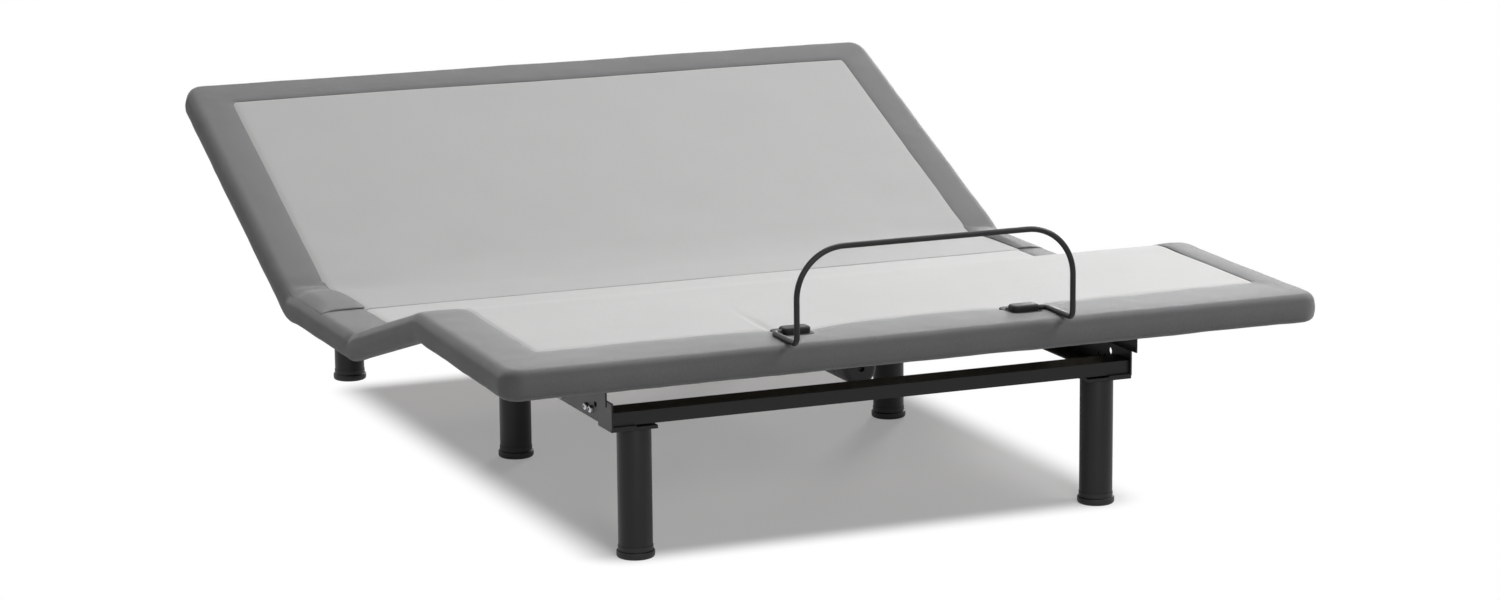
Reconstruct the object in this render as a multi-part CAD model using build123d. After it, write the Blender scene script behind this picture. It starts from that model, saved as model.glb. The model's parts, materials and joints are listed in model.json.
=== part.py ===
"""Adjustable bed base on six legs, with a raised head section and a level leg lift.

The base is laid out flat, with stations along Y counted from the foot end of the flat deck.
Each moving group is then set to its pose at rest: head raised, thighs raised, feet level.
X runs across the bed, Y runs towards the head, Z is up, and the floor is at zero.
"""
import os
from math import cos, radians, sin, tan

from build123d import *

# Deck sections, in millimetres, and their pose at rest, in degrees
DECK_WIDTH = 1520
FOOT_LENGTH = 470
THIGH_LENGTH = 400
SEAT_LENGTH = 400
HEAD_LENGTH = 770
SEAT_TOP = 301
HEAD_REST = 23.5
HEAD_MOST = 60
THIGH_REST = 14.5
THIGH_MOST = 35

# Upholstered deck: padded edge, centre panel and plywood board
EDGE_DEPTH = 52
EDGE_WALL = 28
PAD_THICKNESS = 6
BOARD_THICKNESS = 12
SIDE_BORDER = 80
FOOT_BORDER = 125
HEAD_BORDER = 70
CORNER_RADIUS = 40
TOP_ROUND = 18
BOTTOM_ROUND = 12
FLAP_LENGTH = 195
FLAP_THICKNESS = 4

# Folds: depth of each axis under the deck's top, and half the gap there between boards and between pads
FOLD_DEPTH = 17
KNEE_DEPTH = 46
BOARD_GAP = 14
HEAD_PAD_GAP = 12
THIGH_PAD_GAP = 8
KNEE_GAP = 4
EAR_RADIUS = 10
KNEE_RADIUS = 12
PIN_DIAMETER = 10
RUNNING_CLEARANCE = 0.05
EAR_CLEARANCE = 0.5

# Chassis rails and cross members
CHASSIS_WIDTH = 994
RAIL_BOTTOM = 236
RAIL_WALL = 3
RAIL_FLANGE = 45
FOOT_RAIL_OVERHANG = 34
HEAD_RAIL_OVERHANG = 43
RAIL_HEADROOM = 2
CROSS_RAIL_DEPTH = 56
CROSS_RAIL_HEIGHT = 24
TUBE_WALL = 2
SEAT_TUBE = 30
FRAME_TUBE = 18
CROSS_OFFSET = 45

# Legs
LEG_DIAMETER = 60
LEG_WALL = 2
LEG_CAP = 6
LEG_PLATE = 6
LEG_PLATE_REACH = 32
FOOT_LEG_INSET = 53
MIDDLE_LEG_INSET = 109
HEAD_LEG_INSET = 22
FOOT_LEG_STATION = 251
MIDDLE_LEG_STATION = 1023
HEAD_LEG_STATION = 1800
STUD_DIAMETER = 10
GLIDE_FLARE = 3.5
GLIDE_HEIGHT = 22
GLIDE_BASE = 10

# Leg lift linkage and the planes that its plates run in
ARM_WIDTH = 10
EAR_WIDTH = 8
PLATE_GAP = 2
LINK_WIDTH = 8
LINK_HEIGHT = 26
LINK_BACK = 30
LINK_DROP = 36
LUG_WIDTH = 6
LUG_LENGTH = 50

# Finger guards: folded plates that hang from the foot board outside the rails
GUARD_WALL = 3
GUARD_FLANGE = 25
GUARD_LENGTH = 140
GUARD_GAP = 8
GUARD_OVERLAP = 5

# Drives
HEAD_DRIVE_X = 168
THIGH_DRIVE_X = -190
DRIVE_DROP = 95
LEVER_WIDTH = 6
LEVER_SPACING = 24
LEVER_HALF = 19
DRIVE_PIN = 12
SLOT_PLAY = 2.5
ROD_DIAMETER = 20
ROD_LENGTH = 190
ROD_CLEARANCE = 0.3
ROD_EYE_WIDTH = 22
ROD_EYE_RADIUS = 14
SCREW_TUBE_DIAMETER = 40
SCREW_TUBE_START = 20
GEARBOX_WIDTH = 80
GEARBOX_LENGTH = 75
GEARBOX_BELOW = 38
GEARBOX_ABOVE = 35
GEARBOX_CORNER = 12
MOTOR_DIAMETER = 66
MOTOR_LENGTH = 230
MOTOR_NOSE = 12

# Electrical boxes under the seat
CONTROL_BOX = (180, 110, 42)
POWER_BOX = (70, 160, 40)
POWER_BOX_INSET = 172
BOX_CORNER = 8
SOCKET_DIAMETER = 12
SOCKET_DEPTH = 8
CONTROL_SOCKETS = 4
POWER_SOCKETS = 1

# Mattress retainer bar at the foot end
RETAINER_WIDTH = 512
RETAINER_HEIGHT = 166
RETAINER_BAR = 10
RETAINER_CORNER = 85
RETAINER_OVERHANG = 25
RETAINER_RUN = 102
RETAINER_CLEARANCE = 1
RETAINER_HOOK = 45
RETAINER_BEND = 13
BRACKET_PLATE = 3
BRACKET_AHEAD = 20
BRACKET_LENGTH = 66
BRACKET_WIDTH = 62

# Bolts and holes in the side rails
BOLT_DIAMETER = 8
BOLT_HEAD = 13
BOLT_HEAD_HEIGHT = 5
FIRST_BOLTS = 315
SECOND_BOLTS = 465
BOLT_PITCH = 24
FIRST_BOLTS_RISE = 16
SECOND_BOLTS_RISE = 10
FRONT_HOLE = 13
FRONT_HOLE_STATION = 295
FRONT_HOLE_RISE = 30
HEADBOARD_HOLE = 9
HEADBOARD_SPACING = 60
HEADBOARD_STATION = 1755
HEADBOARD_RISE = 22
SCREW_HEAD = 11
SCREW_HEAD_HEIGHT = 3

# How far a cutting tool runs past a face, and how near counts as on a line
OVERCUT = 1
NEAR = 0.01

# Places worked out from the sizes above
HALF = DECK_WIDTH / 2
PANEL_HALF = HALF - SIDE_BORDER
BOARD_HALF = HALF - EDGE_WALL
KNEE = FOOT_LENGTH
THIGH = KNEE + THIGH_LENGTH
SEAT = THIGH + SEAT_LENGTH
HEAD_END = SEAT + HEAD_LENGTH
BOARD_TOP = SEAT_TOP - PAD_THICKNESS
BOARD_BOTTOM = BOARD_TOP - BOARD_THICKNESS
EDGE_BOTTOM = SEAT_TOP - EDGE_DEPTH
FOLD_Z = SEAT_TOP - FOLD_DEPTH
KNEE_Z = SEAT_TOP - KNEE_DEPTH
ARM_BOTTOM = BOARD_BOTTOM - FRAME_TUBE
RAIL_TOP = BOARD_BOTTOM - RAIL_HEADROOM
RAIL_X = CHASSIS_WIDTH / 2
WEB_X = RAIL_X - RAIL_WALL
FLANGE_TOP = RAIL_BOTTOM + RAIL_WALL
FLANGE_X = RAIL_X - RAIL_FLANGE
RAIL_START = FOOT_LEG_STATION - FOOT_RAIL_OVERHANG
RAIL_END = HEAD_LEG_STATION + HEAD_RAIL_OVERHANG
BOLT_PAIRS = ((FIRST_BOLTS, FIRST_BOLTS_RISE), (SECOND_BOLTS, SECOND_BOLTS_RISE))
BOLTS = [(start + step, RAIL_BOTTOM + rise) for start, rise in BOLT_PAIRS for step in (0, BOLT_PITCH)]
FRONT_HOLE_HEIGHT = RAIL_BOTTOM + FRONT_HOLE_RISE
HEADBOARD_HEIGHT = RAIL_BOTTOM + HEADBOARD_RISE
CROSS_TOP = FLANGE_TOP + CROSS_RAIL_HEIGHT
SEAT_TUBE_BOTTOM = BOARD_BOTTOM - SEAT_TUBE
LEG_TOP = RAIL_BOTTOM - LEG_PLATE
DRIVE_Z = FOLD_Z - DRIVE_DROP
POWER_BOX_X = RAIL_X - POWER_BOX_INSET
LINK_OUTER_X = FLANGE_X - 2 * PLATE_GAP
LINK_INNER_X = LINK_OUTER_X - LINK_WIDTH
ARM_OUTER_X = LINK_INNER_X - 2 * PLATE_GAP
ARM_INNER_X = ARM_OUTER_X - ARM_WIDTH
FOOT_ARM_X = ARM_INNER_X - PLATE_GAP - ARM_WIDTH
LINK_PIVOT = (THIGH - LINK_BACK, FOLD_Z - LINK_DROP)
LINK_END = (KNEE - LINK_BACK, KNEE_Z - LINK_DROP)
PIN_HOLE = PIN_DIAMETER / 2 + RUNNING_CLEARANCE


def turned(angle, y, z):
    """Location that turns a group about an axis across the bed; positive lifts the head side."""
    return Pos(0, y, z) * Rot(angle, 0, 0) * Pos(0, -y, -z)


# The link arms stay parallel to the thighs, so the foot section moves without tilting
KNEE_REACH = KNEE - THIGH
KNEE_FALL = KNEE_Z - FOLD_Z
LIFT = radians(THIGH_REST)
FOOT_SHIFT_Y = KNEE_REACH * cos(LIFT) + KNEE_FALL * sin(LIFT) - KNEE_REACH
FOOT_SHIFT_Z = KNEE_FALL * cos(LIFT) - KNEE_REACH * sin(LIFT) - KNEE_FALL

# The origin is under the middle of the base as it stands at rest
TILT = radians(HEAD_REST)
BACK_Y = (SEAT + (HEAD_LENGTH - BOTTOM_ROUND) * cos(TILT)
          + (FOLD_Z - EDGE_BOTTOM - BOTTOM_ROUND) * sin(TILT) + BOTTOM_ROUND)
FRONT_Y = FOOT_SHIFT_Y - max(0, RETAINER_OVERHANG + RETAINER_BAR / 2)
ORIGIN_Y = (FRONT_Y + BACK_Y) / 2
TO_ORIGIN = Pos(0, -ORIGIN_Y, 0)

CHASSIS_POSE = TO_ORIGIN
HEAD_POSE = TO_ORIGIN * turned(HEAD_REST, SEAT, FOLD_Z)
THIGH_POSE = TO_ORIGIN * turned(-THIGH_REST, THIGH, FOLD_Z)
FOOT_POSE = TO_ORIGIN * Pos(0, FOOT_SHIFT_Y, FOOT_SHIFT_Z)
LINK_POSE = TO_ORIGIN * turned(-THIGH_REST, *LINK_PIVOT)


def block(x0, x1, y0, y1, z0, z1):
    """Box between two corners."""
    middle = Pos((x0 + x1) / 2, (y0 + y1) / 2, (z0 + z1) / 2)
    return middle * Box(abs(x1 - x0), abs(y1 - y0), abs(z1 - z0))


def rod_x(radius, x0, x1, y, z):
    """Round bar across the bed."""
    return Pos((x0 + x1) / 2, y, z) * Rot(0, 90, 0) * Cylinder(radius, abs(x1 - x0))


def rod_y(radius, x, y0, y1, z):
    """Round bar along the bed."""
    return Pos(x, (y0 + y1) / 2, z) * Rot(90, 0, 0) * Cylinder(radius, abs(y1 - y0))


def rod_z(radius, x, y, z0, z1):
    """Upright round bar."""
    return Pos(x, y, (z0 + z1) / 2) * Cylinder(radius, abs(z1 - z0))


def tube_x(x0, x1, y0, y1, z0, z1):
    """Rectangular tube across the bed, open at both ends."""
    bore = block(x0 - OVERCUT, x1 + OVERCUT, y0 + TUBE_WALL, y1 - TUBE_WALL, z0 + TUBE_WALL, z1 - TUBE_WALL)
    return block(x0, x1, y0, y1, z0, z1) - bore


def plate(outline, x0, x1):
    """Flat plate cut to a side outline given in Y and Z."""
    return extrude(Plane.YZ.offset(x0) * outline, amount=x1 - x0, dir=(1, 0, 0))


def disc(radius, y, z):
    return Pos(y, z) * Circle(radius)


def polygon(*points):
    """Straight-sided outline, turned the same way round whatever the order of its points."""
    ends = points[1:] + points[:1]
    area = sum(a[0] * b[1] - b[0] * a[1] for a, b in zip(points, ends))
    return Polygon(*(points if area > 0 else points[::-1]), align=None)


def both_sides(solid):
    """A piece and its mirror image on the other side of the bed."""
    return [solid, mirror(solid, about=Plane.YZ)]


def save(name, pose, solids):
    """Write one node, set to its pose at rest."""
    placed = [pose * solid for solid in solids]
    shape = placed[0] if len(placed) == 1 else Compound(children=placed)
    shape.label = name
    export_step(shape, f"parts/{name}.step")


def side_rail(side):
    """Angle rail with an upright web outside and a flange for the legs, cut and drilled."""
    web = block(WEB_X, RAIL_X, RAIL_START, RAIL_END, RAIL_BOTTOM, RAIL_TOP)
    flange = block(FLANGE_X, RAIL_X, RAIL_START, RAIL_END, RAIL_BOTTOM, FLANGE_TOP)
    rail = web + flange
    holes = [(BOLT_DIAMETER, station, height) for station, height in BOLTS]
    holes.append((FRONT_HOLE, FRONT_HOLE_STATION, FRONT_HOLE_HEIGHT))
    holes += [(HEADBOARD_HOLE, HEADBOARD_STATION + step, HEADBOARD_HEIGHT)
              for step in (-HEADBOARD_SPACING / 2, HEADBOARD_SPACING / 2)]
    for diameter, station, height in holes:
        rail -= rod_x(diameter / 2, WEB_X - OVERCUT, RAIL_X + OVERCUT, station, height)
    return rail if side > 0 else mirror(rail, about=Plane.YZ)


def cross_rail(station):
    """Wide flat tube that stands on the rail flanges above a pair of legs."""
    y0 = station - CROSS_RAIL_DEPTH / 2
    return tube_x(-WEB_X, WEB_X, y0, y0 + CROSS_RAIL_DEPTH, FLANGE_TOP, CROSS_TOP)


def seat_tube(station):
    """Square tube across the chassis that carries the seat board and the hinge ears."""
    y0 = station - SEAT_TUBE / 2
    return tube_x(-WEB_X, WEB_X, y0, y0 + SEAT_TUBE, SEAT_TUBE_BOTTOM, BOARD_BOTTOM)


LEG_PAIRS = {
    "foot": (RAIL_X - FOOT_LEG_INSET, FOOT_LEG_STATION),
    "middle": (RAIL_X - MIDDLE_LEG_INSET, MIDDLE_LEG_STATION),
    "head": (RAIL_X - HEAD_LEG_INSET, HEAD_LEG_STATION),
}
LEGS = {}
for pair, (leg_x, leg_station) in LEG_PAIRS.items():
    LEGS[f"{pair}_left"] = (-leg_x, leg_station)
    LEGS[f"{pair}_right"] = (leg_x, leg_station)


def leg(x, y):
    """Round tube with a closed top, drilled for its stud."""
    outer = LEG_DIAMETER / 2
    tube = rod_z(outer, x, y, GLIDE_BASE, LEG_TOP)
    tube -= rod_z(outer - LEG_WALL, x, y, GLIDE_BASE - OVERCUT, LEG_TOP - LEG_CAP)
    return tube - rod_z(STUD_DIAMETER / 2, x, y, LEG_TOP - LEG_CAP - OVERCUT, LEG_TOP + OVERCUT)


def glide(x, y):
    """Flared plastic foot that cups the end of a leg."""
    outer = LEG_DIAMETER / 2
    foot = Pos(x, y, GLIDE_HEIGHT / 2) * Cone(outer + GLIDE_FLARE, outer + GLIDE_FLARE / 2, GLIDE_HEIGHT)
    foot = fillet(foot.edges().sort_by(Axis.Z)[0], GLIDE_FLARE / 2)
    return foot - rod_z(outer, x, y, GLIDE_BASE, GLIDE_HEIGHT + OVERCUT)


def leg_plate(x, y):
    """Steel plate from the rail flange inwards, with a hole for the leg's stud."""
    side = 1 if x > 0 else -1
    inner = abs(x) - LEG_PLATE_REACH
    mount = block(side * inner, side * RAIL_X, y - LEG_PLATE_REACH, y + LEG_PLATE_REACH, LEG_TOP, RAIL_BOTTOM)
    return mount - rod_z(STUD_DIAMETER / 2, x, y, LEG_TOP - OVERCUT, RAIL_BOTTOM + OVERCUT)


def stud(x, y):
    return rod_z(STUD_DIAMETER / 2, x, y, LEG_TOP - LEG_CAP, RAIL_BOTTOM)


def on_line(edge, y):
    """True for an edge that lies along a section's open end."""
    box = edge.bounding_box()
    return abs(box.min.Y - y) < NEAR and abs(box.max.Y - y) < NEAR


def section_form(y0, y1, closed):
    """Outer form of one deck section: rounded along its outer edges, cut square at its folds."""
    form = block(-HALF, HALF, y0, y1, EDGE_BOTTOM, SEAT_TOP)
    open_ends = [y for y in (y0, y1) if y != closed]
    if closed is not None:
        corners = [edge for edge in form.edges().filter_by(Axis.Z) if on_line(edge, closed)]
        form = fillet(corners, CORNER_RADIUS)
    for face, radius in ((form.faces().sort_by(Axis.Z)[-1], TOP_ROUND),
                         (form.faces().sort_by(Axis.Z)[0], BOTTOM_ROUND)):
        level = face.center().Z
        rim = [edge for edge in form.edges() if abs(edge.center().Z - level) < NEAR
               and not any(on_line(edge, y) for y in open_ends)]
        form = fillet(rim, radius)
    return form


def inside(y0, y1, closed, inset):
    """Stations of the space inside a padded edge, run past the open ends."""
    low = y0 + inset if closed == y0 else y0 - OVERCUT
    high = y1 - inset if closed == y1 else y1 + OVERCUT
    return low, high


def border(y0, y1, closed=None, end_border=0):
    """Padded edges of one section: two sides, and an end where the deck stops."""
    ring = section_form(y0, y1, closed)
    low, high = inside(y0, y1, closed, EDGE_WALL)
    ring -= block(-BOARD_HALF, BOARD_HALF, low, high, EDGE_BOTTOM - OVERCUT, BOARD_TOP)
    low, high = inside(y0, y1, closed, end_border)
    ring -= block(-PANEL_HALF, PANEL_HALF, low, high, BOARD_TOP - OVERCUT, SEAT_TOP + OVERCUT)
    low, high = max(low, y0), min(high, y1)
    bars = []
    for x0, x1 in ((-HALF, -PANEL_HALF), (PANEL_HALF, HALF)):
        bars.append(ring & block(x0, x1, low, high, EDGE_BOTTOM, SEAT_TOP))
    if closed == y0:
        bars.append(ring & block(-HALF, HALF, y0, low, EDGE_BOTTOM, SEAT_TOP))
    if closed == y1:
        bars.append(ring & block(-HALF, HALF, high, y1, EDGE_BOTTOM, SEAT_TOP))
    return bars


def centre_panel(y0, y1):
    return block(-PANEL_HALF, PANEL_HALF, y0, y1, BOARD_TOP, SEAT_TOP)


def board(y0, y1):
    return block(-BOARD_HALF, BOARD_HALF, y0, y1, BOARD_BOTTOM, BOARD_TOP)


def fold_ear(station, side, reach):
    """Side outline of a hinge ear that rises between two boards; side +1 runs to the head."""
    under = BOARD_BOTTOM - FOLD_Z
    foot = ARM_BOTTOM - FOLD_Z
    neck = BOARD_GAP - EAR_CLEARANCE
    points = [(reach, foot), (reach, under), (neck, under), (EAR_RADIUS - EAR_CLEARANCE, -under),
              (0, 0), (0, -EAR_RADIUS), (EAR_RADIUS, foot)]
    outline = polygon(*[(station + side * along, FOLD_Z + up) for along, up in points])
    return outline + disc(EAR_RADIUS, station, FOLD_Z)


def arm_bar(y0, y1):
    return polygon((y0, ARM_BOTTOM), (y0, BOARD_BOTTOM), (y1, BOARD_BOTTOM), (y1, ARM_BOTTOM))


def cross_tube(y0):
    """Tube of a section's sub-frame, between its two side arms."""
    return tube_x(-ARM_INNER_X, ARM_INNER_X, y0, y0 + SEAT_TUBE, ARM_BOTTOM, BOARD_BOTTOM)


def lever_tip(lean):
    """Distance from the fold's axis to the middle of a lever's round end."""
    return DRIVE_DROP / cos(radians(lean)) + SLOT_PLAY + LEVER_HALF / 2


def lever_sweep(lean):
    """How far a lever swings along the bed, with room to spare."""
    return lever_tip(lean) * sin(radians(lean)) + LEVER_HALF + 2 * PLATE_GAP


def lever_outline(station, side, lean, tube_near):
    """Side outline of a slotted lever, flat pose; side +1 belongs to the head section.

    The lever hangs from a sub-frame tube. Its slot points at the fold's axis, so that the drive
    pin, which runs level under the axis, stays in the slot as the section turns.
    """
    angle = radians(lean)
    slot_low = DRIVE_DROP - SLOT_PLAY
    slot_high = DRIVE_DROP / cos(angle) + SLOT_PLAY
    top = slot_low - DRIVE_PIN - SLOT_PLAY
    tip = lever_tip(lean)

    def at(radius, across):
        along = -radius * sin(angle) + across * cos(angle)
        up = -radius * cos(angle) - across * sin(angle)
        return station + side * along, FOLD_Z + up

    tube_far = tube_near + SEAT_TUBE
    hang = [(station + side * tube_far, ARM_BOTTOM), (station + side * tube_near, ARM_BOTTOM)]
    body = polygon(*hang, at(top, -LEVER_HALF), at(tip, -LEVER_HALF),
                   at(tip, LEVER_HALF), at(top, LEVER_HALF))
    body += disc(LEVER_HALF, *at(tip, 0))
    half_slot = DRIVE_PIN / 2 + SLOT_PLAY
    slot = polygon(at(slot_low, -half_slot), at(slot_high, -half_slot),
                   at(slot_high, half_slot), at(slot_low, half_slot))
    slot += disc(half_slot, *at(slot_low, 0)) + disc(half_slot, *at(slot_high, 0))
    return body - slot


def lever(outline, x):
    """Pair of lever plates that straddle the eye of a drive rod."""
    near = LEVER_SPACING / 2
    far = near + LEVER_WIDTH
    return [plate(outline, x - far, x - near), plate(outline, x + near, x + far)]


def drive(x, mount_station, tube_end, side):
    """Motor, gearbox and screw tube of one drive; side +1 pushes towards the head."""
    middle = mount_station
    front = middle + side * GEARBOX_LENGTH / 2
    back = middle - side * GEARBOX_LENGTH / 2
    gearbox = block(x - GEARBOX_WIDTH / 2, x + GEARBOX_WIDTH / 2, back, front,
                    DRIVE_Z - GEARBOX_BELOW, DRIVE_Z + GEARBOX_ABOVE)
    gearbox = fillet(gearbox.edges().filter_by(Axis.Y), GEARBOX_CORNER)
    tube = rod_y(SCREW_TUBE_DIAMETER / 2, x, front, tube_end, DRIVE_Z)
    bore_start = front + side * SCREW_TUBE_START
    tube -= rod_y(ROD_DIAMETER / 2 + ROD_CLEARANCE, x, bore_start, tube_end + side * OVERCUT, DRIVE_Z)
    motor = rod_y(MOTOR_DIAMETER / 2, x, back, back - side * MOTOR_LENGTH, DRIVE_Z)
    nose = motor.edges().sort_by(Axis.Y)[0 if side > 0 else -1]
    motor = fillet(nose, MOTOR_NOSE)
    motor -= rod_y(SOCKET_DIAMETER / 2, x, back - side * (MOTOR_LENGTH - SOCKET_DEPTH),
                   back - side * (MOTOR_LENGTH + OVERCUT), DRIVE_Z)
    return motor, gearbox, tube


def drive_rod(x, pin_station, side):
    """Round rod with an eye at its end, drilled for the drive pin."""
    rod = rod_y(ROD_DIAMETER / 2, x, pin_station - side * ROD_LENGTH, pin_station, DRIVE_Z)
    rod += rod_x(ROD_EYE_RADIUS, x - ROD_EYE_WIDTH / 2, x + ROD_EYE_WIDTH / 2, pin_station, DRIVE_Z)
    return rod - rod_x(DRIVE_PIN / 2, x - ROD_EYE_WIDTH, x + ROD_EYE_WIDTH, pin_station, DRIVE_Z)


def drive_pin(x, pin_station):
    reach = LEVER_SPACING / 2 + LEVER_WIDTH + PLATE_GAP
    return rod_x(DRIVE_PIN / 2, x - reach, x + reach, pin_station, DRIVE_Z)


def hanger(x, station):
    """Block that bolts a drive's gearbox up to a seat tube."""
    half = GEARBOX_WIDTH / 2 - GEARBOX_CORNER
    return block(x - half, x + half, station - SEAT_TUBE / 2, station + SEAT_TUBE / 2,
                 DRIVE_Z + GEARBOX_ABOVE, SEAT_TUBE_BOTTOM)


def drilled(solid, y, z, radius):
    """Hole through a plate for a pin across the bed."""
    return solid - rod_x(radius, -RAIL_X - OVERCUT, RAIL_X + OVERCUT, y, z)


os.makedirs("parts", exist_ok=True)

# Chassis: rails, cross members and legs
save("left_side_rail", CHASSIS_POSE, [side_rail(-1)])
save("right_side_rail", CHASSIS_POSE, [side_rail(1)])
save("foot_cross_rail", CHASSIS_POSE, [cross_rail(FOOT_LEG_STATION)])
save("head_cross_rail", CHASSIS_POSE, [cross_rail(HEAD_LEG_STATION)])
FOOT_TUBE_STATION = THIGH + CROSS_OFFSET + SEAT_TUBE / 2
HEAD_TUBE_STATION = SEAT - CROSS_OFFSET - SEAT_TUBE / 2
save("seat_foot_tube", CHASSIS_POSE, [seat_tube(FOOT_TUBE_STATION)])
save("seat_head_tube", CHASSIS_POSE, [seat_tube(HEAD_TUBE_STATION)])
for place, spot in LEGS.items():
    save(f"{place}_leg", CHASSIS_POSE, [leg(*spot)])
save("leg_glides", CHASSIS_POSE, [glide(*spot) for spot in LEGS.values()])
save("leg_plates", CHASSIS_POSE, [leg_plate(*spot) for spot in LEGS.values()])
save("leg_studs", CHASSIS_POSE, [stud(*spot) for spot in LEGS.values()])

# Zinc bolts in the rails: a round head outside, the shank in the web
bolts = []
for station, height in BOLTS:
    shank = rod_x(BOLT_DIAMETER / 2, WEB_X, RAIL_X, station, height)
    head = rod_x(BOLT_HEAD / 2, RAIL_X, RAIL_X + BOLT_HEAD_HEIGHT, station, height)
    bolts += both_sides(shank + head)
save("rail_bolts", CHASSIS_POSE, bolts)

# Fixed seat section
SEAT_START = THIGH + THIGH_PAD_GAP
SEAT_STOP = SEAT - HEAD_PAD_GAP
save("seat_board", CHASSIS_POSE, [board(THIGH + BOARD_GAP, SEAT - BOARD_GAP)])
save("seat_border", CHASSIS_POSE, border(SEAT_START, SEAT_STOP))
save("seat_centre_panel", CHASSIS_POSE, [centre_panel(SEAT_START, SEAT_STOP)])
flap = block(-HALF + TOP_ROUND, HALF - TOP_ROUND, SEAT_STOP - FLAP_LENGTH, SEAT_STOP,
             SEAT_TOP, SEAT_TOP + FLAP_THICKNESS)
flap = fillet(flap.edges().filter_by(Axis.Z).group_by(Axis.Y)[0], CORNER_RADIUS / 2)
save("head_fold_flap", CHASSIS_POSE, [flap])

# Hinge ears on the seat tubes, and the pins of both folds
EAR_X = ARM_OUTER_X + PLATE_GAP
ears = []
for station, side in ((THIGH, 1), (SEAT, -1)):
    ear = plate(fold_ear(station, side, CROSS_OFFSET), EAR_X, EAR_X + EAR_WIDTH)
    ears += both_sides(drilled(ear, station, FOLD_Z, PIN_DIAMETER / 2))
save("seat_hinge_ears", CHASSIS_POSE, ears)
pins = []
for station in (THIGH, SEAT):
    pin = rod_x(PIN_DIAMETER / 2, ARM_INNER_X - PLATE_GAP, EAR_X + EAR_WIDTH, station, FOLD_Z)
    pins += both_sides(pin)
save("fold_pins", CHASSIS_POSE, pins)

# Lugs on the rail flanges for the link arms, and their shoulder pins
lug_y, lug_z = LINK_PIVOT
lug = block(FLANGE_X, FLANGE_X + LUG_WIDTH, lug_y - LUG_LENGTH / 2, lug_y + LUG_LENGTH / 2,
            FLANGE_TOP, lug_z + LINK_HEIGHT / 2)
save("link_lugs", CHASSIS_POSE, both_sides(drilled(lug, lug_y, lug_z, PIN_DIAMETER / 2)))
link_pin = rod_x(PIN_DIAMETER / 2, ARM_OUTER_X + PLATE_GAP, FLANGE_X + LUG_WIDTH, lug_y, lug_z)
save("link_pins", CHASSIS_POSE, both_sides(link_pin))

# Drives that hang under the seat, side by side and pushing opposite ways
HEAD_MIDDLE = HEAD_MOST / 2
THIGH_MIDDLE = THIGH_MOST / 2
HEAD_PIN = SEAT + DRIVE_DROP * tan(radians(HEAD_REST - HEAD_MIDDLE))
THIGH_PIN = THIGH - DRIVE_DROP * tan(radians(THIGH_REST - THIGH_MIDDLE))
motor, gearbox, tube = drive(HEAD_DRIVE_X, FOOT_TUBE_STATION, SEAT - lever_sweep(HEAD_MIDDLE), 1)
save("head_drive_motor", CHASSIS_POSE, [motor])
save("head_drive_gearbox", CHASSIS_POSE, [gearbox])
save("head_drive_tube", CHASSIS_POSE, [tube])
motor, gearbox, tube = drive(THIGH_DRIVE_X, HEAD_TUBE_STATION, THIGH + lever_sweep(THIGH_MIDDLE), -1)
save("thigh_drive_motor", CHASSIS_POSE, [motor])
save("thigh_drive_gearbox", CHASSIS_POSE, [gearbox])
save("thigh_drive_tube", CHASSIS_POSE, [tube])
save("drive_hangers", CHASSIS_POSE, [hanger(HEAD_DRIVE_X, FOOT_TUBE_STATION),
                                     hanger(THIGH_DRIVE_X, HEAD_TUBE_STATION)])
save("head_drive_rod", CHASSIS_POSE, [drive_rod(HEAD_DRIVE_X, HEAD_PIN, 1)])
save("head_drive_pin", CHASSIS_POSE, [drive_pin(HEAD_DRIVE_X, HEAD_PIN)])
save("thigh_drive_rod", CHASSIS_POSE, [drive_rod(THIGH_DRIVE_X, THIGH_PIN, -1)])
save("thigh_drive_pin", CHASSIS_POSE, [drive_pin(THIGH_DRIVE_X, THIGH_PIN)])

# Electrical boxes screwed up under the seat board, with a row of lead sockets
BOX_MIDDLE = (THIGH + SEAT) / 2


def under_seat_box(size, x, sockets):
    """Moulded case with its sockets in a row across the side that faces the foot end."""
    width, length, height = size
    low = BOARD_BOTTOM - height
    mouth = BOX_MIDDLE - length / 2
    case = block(x - width / 2, x + width / 2, mouth, mouth + length, low, BOARD_BOTTOM)
    case = fillet(case.edges().filter_by(Axis.Z), BOX_CORNER)
    pitch = width / (sockets + 1)
    for place in range(sockets):
        spot = x - width / 2 + pitch * (place + 1)
        case -= rod_y(SOCKET_DIAMETER / 2, spot, mouth - OVERCUT, mouth + SOCKET_DEPTH, low + height / 2)
    return case


save("control_box", CHASSIS_POSE, [under_seat_box(CONTROL_BOX, 0, CONTROL_SOCKETS)])
save("power_supply", CHASSIS_POSE, [under_seat_box(POWER_BOX, POWER_BOX_X, POWER_SOCKETS)])

# Head section
HEAD_START = SEAT + HEAD_PAD_GAP
save("head_board", HEAD_POSE, [board(SEAT + BOARD_GAP, HEAD_END - EDGE_WALL)])
save("head_border", HEAD_POSE, border(HEAD_START, HEAD_END, HEAD_END, HEAD_BORDER))
save("head_centre_panel", HEAD_POSE, [centre_panel(HEAD_START, HEAD_END - HEAD_BORDER)])
HEAD_ARM_END = HEAD_END - EDGE_WALL - SEAT_TUBE
arm = fold_ear(SEAT, 1, CROSS_OFFSET) + arm_bar(SEAT + CROSS_OFFSET, HEAD_ARM_END)
arm = plate(arm, ARM_INNER_X, ARM_OUTER_X)
save("head_arms", HEAD_POSE, both_sides(drilled(arm, SEAT, FOLD_Z, PIN_HOLE)))
save("head_lift_tube", HEAD_POSE, [cross_tube(SEAT + CROSS_OFFSET)])
save("head_top_tube", HEAD_POSE, [cross_tube(HEAD_ARM_END - SEAT_TUBE)])
save("head_lever", HEAD_POSE, lever(lever_outline(SEAT, 1, HEAD_MIDDLE, CROSS_OFFSET), HEAD_DRIVE_X))

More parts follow.
